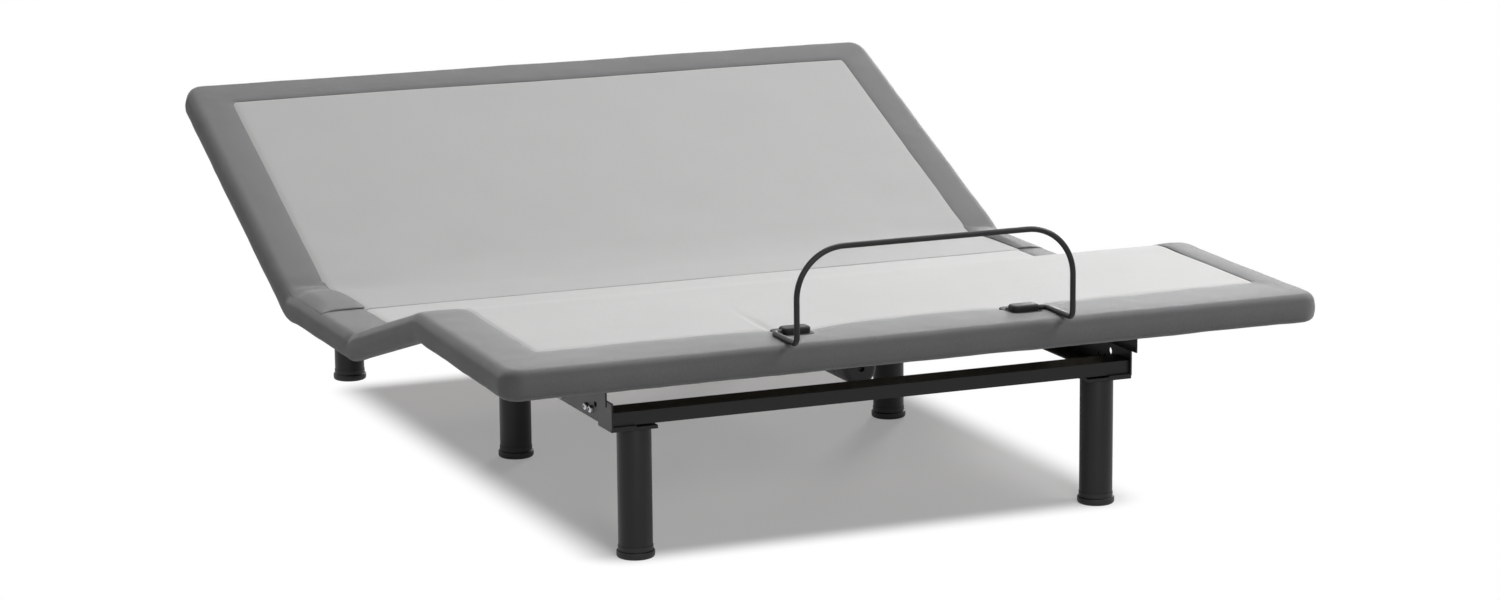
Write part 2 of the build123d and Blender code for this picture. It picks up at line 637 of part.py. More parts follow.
# Thigh section
THIGH_START = KNEE + KNEE_GAP
THIGH_STOP = THIGH - THIGH_PAD_GAP
save("thigh_board", THIGH_POSE, [board(THIGH_START, THIGH - BOARD_GAP)])
save("thigh_border", THIGH_POSE, border(THIGH_START, THIGH_STOP))
save("thigh_centre_panel", THIGH_POSE, [centre_panel(THIGH_START, THIGH_STOP)])
ARM_START = KNEE + 2 * EAR_RADIUS
knee_neck = polygon((ARM_START, ARM_BOTTOM), (ARM_START, BOARD_BOTTOM), (KNEE + KNEE_GAP, BOARD_BOTTOM),
                    (KNEE - KNEE_RADIUS, KNEE_Z), (KNEE + KNEE_RADIUS, KNEE_Z))
arm = fold_ear(THIGH, -1, CROSS_OFFSET) + arm_bar(ARM_START, THIGH - CROSS_OFFSET)
arm = plate(arm + knee_neck + disc(KNEE_RADIUS, KNEE, KNEE_Z), ARM_INNER_X, ARM_OUTER_X)
arm = drilled(drilled(arm, THIGH, FOLD_Z, PIN_HOLE), KNEE, KNEE_Z, PIN_HOLE)
save("thigh_arms", THIGH_POSE, both_sides(arm))
save("thigh_lift_tube", THIGH_POSE, [cross_tube(THIGH - CROSS_OFFSET - SEAT_TUBE)])
save("thigh_lever", THIGH_POSE, lever(lever_outline(THIGH, -1, THIGH_MIDDLE, CROSS_OFFSET), THIGH_DRIVE_X))

# Foot section
FOOT_STOP = KNEE - KNEE_GAP
FOOT_ARM_START = 2 * EDGE_WALL
save("foot_board", FOOT_POSE, [board(EDGE_WALL, FOOT_STOP)])
save("foot_border", FOOT_POSE, border(0, FOOT_STOP, 0, FOOT_BORDER))
save("foot_centre_panel", FOOT_POSE, [centre_panel(FOOT_BORDER, FOOT_STOP)])
end_y, end_z = LINK_END
arm_stop = FOOT_STOP - EAR_CLEARANCE
neck = KNEE_RADIUS / 2
arm = polygon((FOOT_ARM_START, ARM_BOTTOM), (FOOT_ARM_START, BOARD_BOTTOM), (arm_stop, BOARD_BOTTOM),
              (arm_stop, KNEE_Z), (KNEE + neck, KNEE_Z), (KNEE + neck, KNEE_Z - neck),
              (end_y + neck, end_z - neck), (end_y - neck, end_z - neck), (end_y - 4 * neck, ARM_BOTTOM))
arm += disc(KNEE_RADIUS, KNEE, KNEE_Z) + disc(KNEE_RADIUS, *LINK_END)
arm = plate(arm, FOOT_ARM_X, FOOT_ARM_X + ARM_WIDTH)
arm = drilled(drilled(arm, KNEE, KNEE_Z, PIN_DIAMETER / 2), *LINK_END, PIN_DIAMETER / 2)
guard_x = RAIL_X + GUARD_GAP
guard_y = RAIL_START - FOOT_SHIFT_Y
guard_low = RAIL_TOP - FOOT_SHIFT_Z - GUARD_OVERLAP
guard = block(guard_x, guard_x + GUARD_WALL, guard_y, guard_y + GUARD_LENGTH, guard_low, BOARD_BOTTOM)
guard += block(guard_x, guard_x + GUARD_FLANGE, guard_y, guard_y + GUARD_LENGTH,
               BOARD_BOTTOM - GUARD_WALL, BOARD_BOTTOM)
save("foot_arms", FOOT_POSE, both_sides(arm) + both_sides(guard))
foot_tube = tube_x(-FOOT_ARM_X, FOOT_ARM_X, FOOT_ARM_START, FOOT_ARM_START + SEAT_TUBE,
                   ARM_BOTTOM, BOARD_BOTTOM)
save("foot_front_tube", FOOT_POSE, [foot_tube])
knee_pin = rod_x(PIN_DIAMETER / 2, FOOT_ARM_X, ARM_OUTER_X + PLATE_GAP, KNEE, KNEE_Z)
link_end_pin = rod_x(PIN_DIAMETER / 2, FOOT_ARM_X, LINK_OUTER_X + PLATE_GAP, *LINK_END)
save("knee_pins", FOOT_POSE, both_sides(knee_pin) + both_sides(link_end_pin))

# Link arms
link_half = LINK_HEIGHT / 2
link = polygon((lug_y, lug_z - link_half), (lug_y, lug_z + link_half),
               (end_y, end_z + link_half), (end_y, end_z - link_half))
link += disc(link_half, *LINK_PIVOT) + disc(link_half, *LINK_END)
link = plate(link, LINK_INNER_X, LINK_OUTER_X)
link = drilled(drilled(link, *LINK_PIVOT, PIN_HOLE), *LINK_END, PIN_HOLE)
save("link_arms", LINK_POSE, both_sides(link))

# Mattress retainer bar and its two brackets
BAR_Z = SEAT_TOP + RETAINER_CLEARANCE + RETAINER_BAR / 2
BAR_X = RETAINER_WIDTH / 2
BAR_FRONT = -RETAINER_OVERHANG
BAR_BACK = BAR_FRONT + RETAINER_RUN
BAR_TOP = SEAT_TOP + RETAINER_HEIGHT
HOOK_X = BAR_X - RETAINER_HOOK
bar_points = [(-HOOK_X, BAR_BACK, BAR_Z), (-BAR_X, BAR_BACK, BAR_Z), (-BAR_X, BAR_FRONT, BAR_Z),
              (-BAR_X, BAR_FRONT, BAR_TOP), (BAR_X, BAR_FRONT, BAR_TOP),
              (BAR_X, BAR_FRONT, BAR_Z), (BAR_X, BAR_BACK, BAR_Z), (HOOK_X, BAR_BACK, BAR_Z)]
bend = RETAINER_BEND
bar_path = FilletPolyline(*bar_points, radius=[bend, bend, RETAINER_CORNER, RETAINER_CORNER, bend, bend])
bar_section = Plane(origin=bar_points[0], z_dir=(-1, 0, 0)) * Circle(RETAINER_BAR / 2)
save("retainer_bar", FOOT_POSE, [sweep(bar_section, path=bar_path)])

plate_out = BAR_X - RETAINER_BAR
plate_in = plate_out - BRACKET_WIDTH
plate_y = BAR_BACK - BRACKET_AHEAD
bracket = block(plate_in, plate_out, plate_y, plate_y + BRACKET_LENGTH, SEAT_TOP, SEAT_TOP + BRACKET_PLATE)
bracket = fillet(bracket.edges().filter_by(Axis.Z), RETAINER_BAR / 2)
hump_half = RETAINER_BAR
hump = block(HOOK_X - PLATE_GAP, plate_out - PLATE_GAP, BAR_BACK - hump_half, BAR_BACK + hump_half,
             SEAT_TOP + BRACKET_PLATE, BAR_Z + RETAINER_BAR / 2 + BRACKET_PLATE)
hump = fillet(hump.edges().filter_by(Axis.X).group_by(Axis.Z)[-1], RETAINER_BAR / 2)
tunnel = rod_x(RETAINER_BAR / 2, HOOK_X, plate_out + OVERCUT, BAR_BACK, BAR_Z)
save("retainer_brackets", FOOT_POSE, both_sides(bracket + hump - tunnel))
screws = []
screw_y = BAR_BACK + hump_half + SCREW_HEAD
screw_z = SEAT_TOP + BRACKET_PLATE
for screw_x in (plate_in + SCREW_HEAD, plate_out - SCREW_HEAD):
    screws += both_sides(rod_z(SCREW_HEAD / 2, screw_x, screw_y, screw_z, screw_z + SCREW_HEAD_HEIGHT))
save("bracket_screws", FOOT_POSE, screws)

print("origin station", round(ORIGIN_Y, 4), "foot shift", round(FOOT_SHIFT_Y, 4), round(FOOT_SHIFT_Z, 4))
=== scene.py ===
import json
import math

import bpy
import numpy as np
from mathutils import Matrix, Vector, noise


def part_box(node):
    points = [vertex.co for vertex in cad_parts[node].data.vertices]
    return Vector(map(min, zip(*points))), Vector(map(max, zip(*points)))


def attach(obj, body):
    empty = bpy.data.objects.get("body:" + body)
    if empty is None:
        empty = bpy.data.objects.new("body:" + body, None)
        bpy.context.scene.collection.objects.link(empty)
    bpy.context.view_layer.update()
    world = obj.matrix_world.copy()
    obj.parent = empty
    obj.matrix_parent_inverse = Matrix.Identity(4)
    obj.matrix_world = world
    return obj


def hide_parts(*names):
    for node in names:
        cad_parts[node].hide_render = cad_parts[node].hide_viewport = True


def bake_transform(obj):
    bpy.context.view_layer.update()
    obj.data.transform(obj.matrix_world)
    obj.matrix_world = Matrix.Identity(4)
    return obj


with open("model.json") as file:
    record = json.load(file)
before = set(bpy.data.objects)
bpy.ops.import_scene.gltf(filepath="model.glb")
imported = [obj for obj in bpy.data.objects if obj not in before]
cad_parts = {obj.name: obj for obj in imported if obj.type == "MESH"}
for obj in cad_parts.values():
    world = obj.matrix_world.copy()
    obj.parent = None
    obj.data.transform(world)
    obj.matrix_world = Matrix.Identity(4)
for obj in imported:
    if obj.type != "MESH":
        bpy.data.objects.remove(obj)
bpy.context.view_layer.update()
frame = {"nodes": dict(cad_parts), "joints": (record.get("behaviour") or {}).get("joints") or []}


# The setting: a seamless pale floor under one broad lamp that hangs above the head end, a little to
# the right, with three weak lamps round the bed in a dim even room. Floor and room look white but
# throw little light back, and the floor shows the bed's shadow among the legs.
FLOOR_RADIUS = 40.0
FLOOR_SIDES = 96
FLOOR_DROP = 0.0004
FLOOR_SEEN = (0.93, 0.93, 0.93, 1)
FLOOR_GIVEN = (0.30, 0.30, 0.30, 1)
SHADE_HALF = (0.45, 0.69, 0.0)
SHADE_FADE = 0.11
SHADE_PALE = 0.27
SHADE_STEPS = (("ABSOLUTE", None), ("SUBTRACT", SHADE_HALF), ("MAXIMUM", (0, 0, 0)), ("LENGTH", None))
WHITE = (1, 1, 1, 1)
ROOM_LIGHT = 0.10
LAMP_TARGET = (0.0, 0.0, 0.3)
LAMP_PLACE = (2.45, 4.45, 10.0)
LAMP_SIZE = 4.0
LAMP_POWER = 850
WEAK_LAMPS = (((4.4, 5.4, 2.0), 1.6, 145), ((-0.8, -6.0, 2.5), 2.0, 80), ((2.8, -1.9, 3.0), 1.6, 88))
CAMERA_PLACE = (-2.8725, -7.0746, 1.8415)
CAMERA_TURN = (78.403, 0.538, -22.747)
CAMERA_LENS = 98.003
SENSOR_WIDTH = 36.0


def add_node(tree, kind, **values):
    """A new node with its settings and socket values; a socket of two words is written with _."""
    made = tree.nodes.new("ShaderNode" + kind)
    for name, value in values.items():
        if hasattr(made, name):
            setattr(made, name, value)
        else:
            made.inputs[name.replace("_", " ")].default_value = value
    return made


def combine(tree, operation, *terms):
    """One Math node on sockets or plain numbers."""
    made = add_node(tree, "Math", operation=operation)
    for socket, term in zip(made.inputs, terms):
        if isinstance(term, float):
            socket.default_value = term
        else:
            tree.links.new(term, socket)
    return made.outputs[0]


def seen_by_eye(tree):
    """1 for camera, mirror and glass rays, 0 for rays that carry light from surface to surface."""
    path = add_node(tree, "LightPath")
    mirrored_too = combine(tree, "MAXIMUM", path.outputs["Is Camera Ray"], path.outputs["Is Glossy Ray"])
    return combine(tree, "MAXIMUM", mirrored_too, path.outputs["Is Transmission Ray"])


def mix_surface(tree, output, factor, first, second):
    """Puts two shaders on the surface, the second one by as much as the factor says."""
    choice = add_node(tree, "MixShader")
    for socket, source in zip(choice.inputs, (factor, first, second)):
        tree.links.new(source, socket)
    surface = add_node(tree, output)
    tree.links.new(choice.outputs[0], surface.inputs["Surface"])


def pale_floor():
    finish = bpy.data.materials.new("pale_floor")
    finish.use_nodes = True
    tree = finish.node_tree
    tree.nodes.clear()
    seen = seen_by_eye(tree)
    colour = add_node(tree, "Mix", data_type="RGBA")
    tree.links.new(seen, colour.inputs["Factor"])
    colour.inputs["A"].default_value = FLOOR_GIVEN
    colour.inputs["B"].default_value = FLOOR_SEEN
    matt = add_node(tree, "BsdfDiffuse")
    tree.links.new(colour.outputs["Result"], matt.inputs["Color"])
    place = add_node(tree, "TexCoord").outputs["Object"]
    for step, operand in SHADE_STEPS:
        beyond = add_node(tree, "VectorMath", operation=step)
        tree.links.new(place, beyond.inputs[0])
        if operand:
            beyond.inputs[1].default_value = operand
        place = beyond.outputs[0]
    fade = add_node(tree, "MapRange", interpolation_type="SMOOTHSTEP", From_Max=SHADE_FADE,
                    To_Min=SHADE_PALE)
    tree.links.new(beyond.outputs["Value"], fade.inputs["Value"])
    share = combine(tree, "MULTIPLY", fade.outputs["Result"], seen)
    white = add_node(tree, "Emission", Strength=1.0)
    mix_surface(tree, "OutputMaterial", share, matt.outputs[0], white.outputs[0])
    return finish


def dim_room():
    world = bpy.data.worlds.new("dim_room")
    world.use_nodes = True
    tree = world.node_tree
    tree.nodes.clear()
    light = add_node(tree, "Background", Strength=ROOM_LIGHT, Color=WHITE)
    white = add_node(tree, "Background", Strength=1.0, Color=WHITE)
    mix_surface(tree, "OutputWorld", seen_by_eye(tree), light.outputs[0], white.outputs[0])
    return world


bpy.ops.object.select_all(action="DESELECT")
bpy.ops.mesh.primitive_circle_add(vertices=FLOOR_SIDES, radius=FLOOR_RADIUS, fill_type="NGON")
floor = bpy.context.object
floor.name = "floor"
floor.data.transform(Matrix.Translation((0, 0, -FLOOR_DROP)))
floor.data.materials.append(pale_floor())


def hang_lamp(place, size, power):
    """A round soft lamp that faces the bed."""
    bpy.ops.object.light_add(type="AREA", location=place)
    lamp = bpy.context.object
    lamp.data.shape = "DISK"
    lamp.data.size = size
    lamp.data.energy = power
    lamp.rotation_euler = (Vector(LAMP_TARGET) - Vector(place)).to_track_quat("-Z", "Y").to_euler()


hang_lamp(LAMP_PLACE, LAMP_SIZE, LAMP_POWER)
for place, size, power in WEAK_LAMPS:
    hang_lamp(place, size, power)

scene = bpy.context.scene
scene.world = dim_room()
scene.view_settings.view_transform = "Standard"

bpy.ops.object.camera_add(location=CAMERA_PLACE, rotation=[math.radians(turn) for turn in CAMERA_TURN])
scene.camera = bpy.context.object
scene.camera.data.lens = CAMERA_LENS
scene.camera.data.sensor_width = SENSOR_WIDTH


# The steel chassis: two folded rails, cross rails, tubes, arms and levers, welded and powder coated
# satin black. The coat is slightly orange-peeled and rubs a little lighter in patches.
COAT_TONES = ((0.0095, 0.0092, 0.0088), (0.0150, 0.0146, 0.0140))
COAT_SPREAD = (0.45, 0.80)
COAT_GLOSS = (0.36, 0.52)
COAT_PATCH = (14, 4.0)
COAT_PEEL = (900, 2.0, 0.00005)
COAT_SHINE = 0.28
EDGE_ROUND = 0.0009
EDGE_SAMPLES = 4
COATED_NODES = ("left_side_rail", "right_side_rail", "foot_cross_rail", "head_cross_rail",
                "seat_foot_tube", "seat_head_tube", "seat_hinge_ears", "leg_plates", "head_arms",
                "head_lift_tube", "head_top_tube", "head_lever", "thigh_arms", "thigh_lift_tube",
                "thigh_lever", "foot_arms", "foot_front_tube", "link_arms", "link_lugs",
                "drive_hangers")


def plain_finish(name, shine=0.5, metallic=0.0):
    """A material with one principled shader, ready for its grain and colour nodes."""
    finish = bpy.data.materials.new(name)
    finish.use_nodes = True
    shader = finish.node_tree.nodes["Principled BSDF"]
    shader.inputs["Specular IOR Level"].default_value = shine
    shader.inputs["Metallic"].default_value = metallic
    return finish, finish.node_tree, shader


def grain(tree, source, scale, detail, roughness=0.5):
    """Noise of about 1 / scale metres on the given coordinates."""
    made = add_node(tree, "TexNoise", Scale=scale, Detail=detail, Roughness=roughness)
    tree.links.new(source, made.inputs["Vector"])
    return made.outputs["Fac"]


def tint(tree, shader, factor, tones, spread=(0.3, 0.7)):
    """Colours a finish between two tones, spread over the middle of a noise."""
    ramp = add_node(tree, "ValToRGB")
    for element, tone, position in zip(ramp.color_ramp.elements, tones, spread):
        element.color = (*tone, 1)
        element.position = position
    tree.links.new(factor, ramp.inputs["Fac"])
    tree.links.new(ramp.outputs["Color"], shader.inputs["Base Color"])


def uneven_gloss(tree, shader, factor, gloss):
    """Lets the roughness run between two values."""
    span = add_node(tree, "MapRange", To_Min=gloss[0], To_Max=gloss[1])
    tree.links.new(factor, span.inputs["Value"])
    tree.links.new(span.outputs["Result"], shader.inputs["Roughness"])


def raise_bumps(tree, shader, factor, height, edge=0.0):
    """Bumps of the given height in metres, over edges that are eased by a small round."""
    bump = add_node(tree, "Bump", Strength=1.0, Distance=height)
    tree.links.new(factor, bump.inputs["Height"])
    if edge:
        eased = add_node(tree, "Bevel", Radius=edge)
        eased.samples = EDGE_SAMPLES
        tree.links.new(eased.outputs["Normal"], bump.inputs["Normal"])
    tree.links.new(bump.outputs["Normal"], shader.inputs["Normal"])


def hard_finish(name, tones, gloss, patch, bumps=None, spread=(0.3, 0.7), shine=0.5, metallic=0.0,
                edge=0.0, stretch=(1, 1, 1)):
    """Paint, plating, plastic or wood. Tones and roughness follow a noise, given by its scale and detail,
    and bumps follow another, given with their height in metres. stretch scales each axis of both."""
    finish, tree, shader = plain_finish(name, shine, metallic)
    scaled = add_node(tree, "Mapping", Scale=stretch)
    tree.links.new(add_node(tree, "TexCoord").outputs["Object"], scaled.inputs["Vector"])
    place = scaled.outputs["Vector"]
    patches = grain(tree, place, *patch)
    tint(tree, shader, patches, tones, spread)
    uneven_gloss(tree, shader, patches, gloss)
    if bumps:
        *fine, height = bumps
        raise_bumps(tree, shader, grain(tree, place, *fine), height, edge)
    return finish


def dress(finish, *names):
    """Gives carried-over CAD nodes a finish in place of their plain colour."""
    for name in names:
        mesh = frame["nodes"][name].data
        mesh.materials.clear()
        mesh.materials.append(finish)


black_coat = hard_finish("satin_black_coat", COAT_TONES, COAT_GLOSS, COAT_PATCH, COAT_PEEL, COAT_SPREAD,
                         COAT_SHINE, edge=EDGE_ROUND)
dress(black_coat, *COATED_NODES)


# Six round legs: painted steel tube with a rounded top edge, open at the bottom, screwed up into the
# leg plates on a stud. All are alike, so one is modelled and copied to each place.
LEG_RIM = 0.0016
LEG_WALL = 0.002
LEG_BORE = 0.204
ROUND_SIDES = 64
UP = Vector((0, 0, 1))
DOWN = Vector((0, 0, -1))
STRAIGHT = 0.9
LEG_NODES = ("foot_left_leg", "foot_right_leg", "middle_left_leg", "middle_right_leg",
             "head_left_leg", "head_right_leg")


def put_down():
    """Leaves edit mode with nothing selected."""
    if bpy.context.mode != "OBJECT":
        bpy.ops.object.mode_set(mode="OBJECT")
    bpy.ops.object.select_all(action="DESELECT")


def only(piece):
    """Makes a piece the one that operators act on."""
    put_down()
    piece.select_set(True)
    bpy.context.view_layer.objects.active = piece


def settle(name):
    """Names the primitive just added and moves its place into its mesh."""
    piece = bpy.context.object
    piece.name = name
    bpy.ops.object.transform_apply(location=True, rotation=True, scale=True)
    return piece


def add_block(name, low, high):
    """A box between two corners."""
    put_down()
    middle = (Vector(low) + Vector(high)) / 2
    bpy.ops.mesh.primitive_cube_add(size=1, location=middle, scale=Vector(high) - Vector(low))
    return settle(name)


def add_round(name, middle, radius, length, axis="Z", top_radius=None, sides=ROUND_SIDES):
    """A round bar or cone about an axis, its top end towards the axis's plus side."""
    turn = {"X": (0, math.pi / 2, 0), "Y": (-math.pi / 2, 0, 0), "Z": (0, 0, 0)}[axis]
    put_down()
    bpy.ops.mesh.primitive_cone_add(vertices=sides, radius1=radius, depth=length, rotation=turn,
                                    radius2=radius if top_radius is None else top_radius, location=middle)
    return settle(name)


def pick(piece, kind, test):
    """Selects in edit mode the faces or edges that pass a test of their middle and direction."""
    only(piece)
    bpy.ops.object.mode_set(mode="EDIT")
    bpy.ops.mesh.select_mode(type=kind)
    bpy.ops.mesh.select_all(action="DESELECT")
    bpy.ops.object.mode_set(mode="OBJECT")
    spots = [vertex.co for vertex in piece.data.vertices]
    for part in piece.data.polygons if kind == "FACE" else piece.data.edges:
        corners = [spots[index] for index in part.vertices]
        middle = sum(corners, Vector()) / len(corners)
        way = part.normal if kind == "FACE" else (corners[1] - corners[0]).normalized()
        part.select = bool(test(middle, way))
    bpy.ops.object.mode_set(mode="EDIT")


def pick_faces(piece, way, limit=STRAIGHT):
    """Picks the faces that look one way; limit is the cosine of how far off they may be."""
    pick(piece, "FACE", lambda middle, facing: facing.dot(Vector(way)) > limit)


def push_up(step):
    """Extrudes the picked faces upwards."""
    bpy.ops.mesh.extrude_region_move(TRANSFORM_OT_translate={"value": (0, 0, step)})


def ease(width, segments=3):
    """Bevels the edges of what is picked."""
    bpy.ops.mesh.bevel(offset=width, segments=segments, affect="EDGES")


def ease_faces(piece, way, width, segments=3):
    """Rounds the rim of the faces that look one way."""
    pick_faces(piece, way)
    ease(width, segments)


def take_all():
    """Goes into edit mode with the whole mesh picked."""
    bpy.ops.object.mode_set(mode="EDIT")
    bpy.ops.mesh.select_all(action="SELECT")


def finish_mesh(piece, angle=35):
    """Leaves edit mode with the faces outwards and smooth up to an angle."""
    only(piece)
    take_all()
    bpy.ops.mesh.normals_make_consistent(inside=False)
    bpy.ops.object.mode_set(mode="OBJECT")
    bpy.ops.object.shade_smooth_by_angle(angle=math.radians(angle))


def copy_to(piece, name, step):
    """A copy with its own mesh, moved by a step."""
    twin = piece.copy()
    twin.data = piece.data.copy()
    twin.data.transform(Matrix.Translation(step))
    twin.name = name
    bpy.context.collection.objects.link(twin)
    return twin


def join_pieces(name, pieces):
    """One piece from several that belong to one node."""
    put_down()
    for piece in pieces:
        piece.select_set(True)
    bpy.context.view_layer.objects.active = pieces[0]
    bpy.ops.object.join()
    pieces[0].name = name
    return pieces[0]


def fit(piece, finish, slot, body, *nodes):
    """Finishes a rigid piece, puts it on its body and lets it stand for its CAD nodes."""
    piece.data.materials.clear()
    piece.data.materials.append(finish)
    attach(piece, body)
    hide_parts(*nodes)


leg_low, leg_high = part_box(LEG_NODES[0])
leg_middle = (leg_low + leg_high) / 2
leg_radius = (leg_high.x - leg_low.x) / 2
leg = add_round("leg_tube", leg_middle, leg_radius, leg_high.z - leg_low.z)
ease_faces(leg, UP, LEG_RIM)
pick_faces(leg, DOWN)
bpy.ops.mesh.inset(thickness=LEG_WALL)
push_up(LEG_BORE)
finish_mesh(leg)
leg_spots = []
for node in LEG_NODES:
    low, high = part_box(node)
    leg_spots.append((low + high) / 2 - leg_middle)
    fit(copy_to(leg, node + "_tube", leg_spots[-1]), black_coat, "black_steel", "chassis", node)


# A glide on each leg: a moulded black foot, a rounded bead on the floor with a thin sleeve above it
# that the tube is pressed into. All six share one node.
GLIDE_BEAD = 0.0335
GLIDE_SLEEVE = 0.0308
GLIDE_SOLE = 0.0050
BEAD_HEIGHT = 0.0135
GLIDE_CUP = 0.0004
GLIDE_DEPTH = 0.011
DEAD_LEVEL = 0.9999
MOULD_TONES = ((0.0085, 0.0085, 0.0088), (0.0125, 0.0125, 0.0130))
MOULD_GLOSS = (0.42, 0.58)
MOULD_CLOUDS = (35, 3.0)
MOULD_SPARKED = (2200, 2.0, 0.00004)
MOULD_SHINE = 0.35
mould_black = hard_finish("moulded_black", MOULD_TONES, MOULD_GLOSS, MOULD_CLOUDS, MOULD_SPARKED,
                          shine=MOULD_SHINE)
glide_low, glide_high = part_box("leg_glides")
glide_height = glide_high.z - glide_low.z
glide = add_round("leg_glide", (leg_middle.x, leg_middle.y, BEAD_HEIGHT / 2), GLIDE_BEAD, BEAD_HEIGHT)
ease_faces(glide, DOWN, GLIDE_SOLE, 6)
ease_faces(glide, UP, GLIDE_BEAD - GLIDE_SLEEVE, 5)
pick_faces(glide, UP, DEAD_LEVEL)
push_up(glide_height - BEAD_HEIGHT)
bpy.ops.mesh.inset(thickness=GLIDE_SLEEVE - leg_radius - GLIDE_CUP)
push_up(-GLIDE_DEPTH)
finish_mesh(glide)
fit(join_pieces("leg_glide_feet", [copy_to(glide, "glide", spot) for spot in leg_spots]),
    mould_black, "black_plastic", "chassis", "leg_glides")
for pattern in (leg, glide):
    bpy.data.objects.remove(pattern)


# Zinc-plated fasteners and hinge pins: domed rail bolts with a hexagon socket, the studs of the legs,
# and turned pins in the folds, links and drives.
ZINC_TONES = ((0.40, 0.41, 0.43), (0.56, 0.57, 0.59))
ZINC_GLOSS = (0.22, 0.45)
ZINC_CLOUDS = (180, 3.0)
ZINC_SCRATCHES = (1500, 2.0, 0.00002)
BOLT_RADIUS = 0.0065
BOLT_PITCH = 0.024
BOLT_DOME = 0.0026
SOCKET_WIDTH = 0.0032
SOCKET_DEEP = 0.0028


def apply_modifier(piece, kind, **settings):
    """Adds one modifier, sets it up and applies it."""
    made = piece.modifiers.new(kind.lower(), kind)
    for name, value in settings.items():
        setattr(made, name, value)
    bpy.context.view_layer.objects.active = piece
    bpy.ops.object.modifier_apply(modifier=made.name)


def cut_away(piece, tool):
    """Takes one shape out of another."""
    only(piece)
    apply_modifier(piece, "BOOLEAN", object=tool, operation="DIFFERENCE", solver="EXACT")
    bpy.data.objects.remove(tool)


zinc = hard_finish("bright_zinc", ZINC_TONES, ZINC_GLOSS, ZINC_CLOUDS, ZINC_SCRATCHES, metallic=1.0)
dress(zinc, "fold_pins", "knee_pins", "link_pins", "leg_studs", "head_drive_pin", "thigh_drive_pin")
bolt_low, bolt_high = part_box("rail_bolts")
rail_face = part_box("right_side_rail")[1].x
bolt_out = bolt_high.x - rail_face
bolt_rows = [(bolt_low.y + BOLT_RADIUS, bolt_high.z - BOLT_RADIUS, 1),
             (bolt_high.y - BOLT_RADIUS, bolt_low.z + BOLT_RADIUS, -1)]
bolt_heads = []
for side in (-1, 1):
    out = side * (rail_face + bolt_out / 2)
    head = add_round("bolt", (out, 0, 0), BOLT_RADIUS, bolt_out, "X", sides=32)
    ease_faces(head, (side, 0, 0), BOLT_DOME, 5)
    finish_mesh(head)
    cut_away(head, add_round("key", (side * bolt_high.x, 0, 0), SOCKET_WIDTH, 2 * SOCKET_DEEP, "X", sides=6))
    for along, up, toward in bolt_rows:
        for step in (0, BOLT_PITCH):
            bolt_heads.append(copy_to(head, "bolt", (0, along + toward * step, up)))
    bpy.data.objects.remove(head)
fit(join_pieces("rail_bolt_heads", bolt_heads), zinc, "zinc", "chassis", "rail_bolts")


# Two screw drives under the seat. Each has a long round motor with two clamp grooves and a lead socket
# in its nose, a two-part gearbox, an outer tube with an end collar, and a ground steel push rod.
DRIVE_TONES = ((0.020, 0.020, 0.022), (0.032, 0.032, 0.034))
DRIVE_GLOSS = (0.45, 0.65)
DRIVE_CLOUDS = (60, 4.0)
DRIVE_GRAIN = (1400, 3.0, 0.00008)
STEEL_TONES = ((0.46, 0.46, 0.47), (0.58, 0.58, 0.59))
STEEL_GLOSS = (0.18, 0.34)
STEEL_STRETCH = (40, 900, 40)
STEEL_RINGS = (1.0, 2.0)
MOTOR_EASE = 0.002
MOTOR_NOSE = 0.012
NOSE_STEPS = 7
MOTOR_GROOVES = (0.30, 0.74)
GROOVE_DEEP = 0.0014
GROOVE_MOUTH = 0.002
GROOVE_FLOOR = 0.0015
SPIN_WELD = 0.00001
LEAD_SOCKET = 0.006
LEAD_DEEP = 0.008
GEARBOX_CORNER = 0.012
GEARBOX_EASE = 0.0025
GEARBOX_SCREW_IN = 0.014
GEARBOX_SCREW_UP = 0.020
PARTING = 0.0008
PARTING_DEEP = 0.0010
SCREW_RADIUS = 0.0036
SCREW_HIGH = 0.0022
SCREW_ROUND = 0.0011
SCREW_SLOT = 0.0009
SLOT_HALF = 1.5 * SCREW_RADIUS
DRIVES = (("head", 1), ("thigh", -1))


def turned(name, outline, x, z):
    """A shape turned about a line along the bed, from its outline of places along and radii."""
    mesh = bpy.data.meshes.new(name)
    spots = [(x, along, z + radius) for along, radius in outline]
    mesh.from_pydata(spots, [(index, index + 1) for index in range(len(spots) - 1)], [])
    piece = bpy.data.objects.new(name, mesh)
    bpy.context.collection.objects.link(piece)
    only(piece)
    take_all()
    bpy.ops.mesh.spin(steps=ROUND_SIDES, angle=2 * math.pi, center=(x, 0, z), axis=(0, 1, 0))
    take_all()
    bpy.ops.mesh.remove_doubles(threshold=SPIN_WELD)
    finish_mesh(piece, angle=30)
    return piece


def motor_outline(base, nose, radius):
    """From the gearbox to the nose: two square grooves, a round shoulder and the lead socket."""
    toward = 1 if nose > base else -1
    length = abs(nose - base)
    steps = [(0, 0), (0, radius - MOTOR_EASE), (MOTOR_EASE, radius)]
    for share in MOTOR_GROOVES:
        spot = share * length
        low = radius - GROOVE_DEEP
        steps += [(spot - GROOVE_MOUTH, radius), (spot - GROOVE_FLOOR, low)]
        steps += [(spot + GROOVE_FLOOR, low), (spot + GROOVE_MOUTH, radius)]
    for turn in np.linspace(0, math.pi / 2, NOSE_STEPS):
        along = length - MOTOR_NOSE * (1 - math.sin(turn))
        steps.append((along, radius - MOTOR_NOSE * (1 - math.cos(turn))))
    steps += [(length, LEAD_SOCKET), (length - LEAD_DEEP, LEAD_SOCKET), (length - LEAD_DEEP, 0)]
    return [(base + toward * along, size) for along, size in steps]


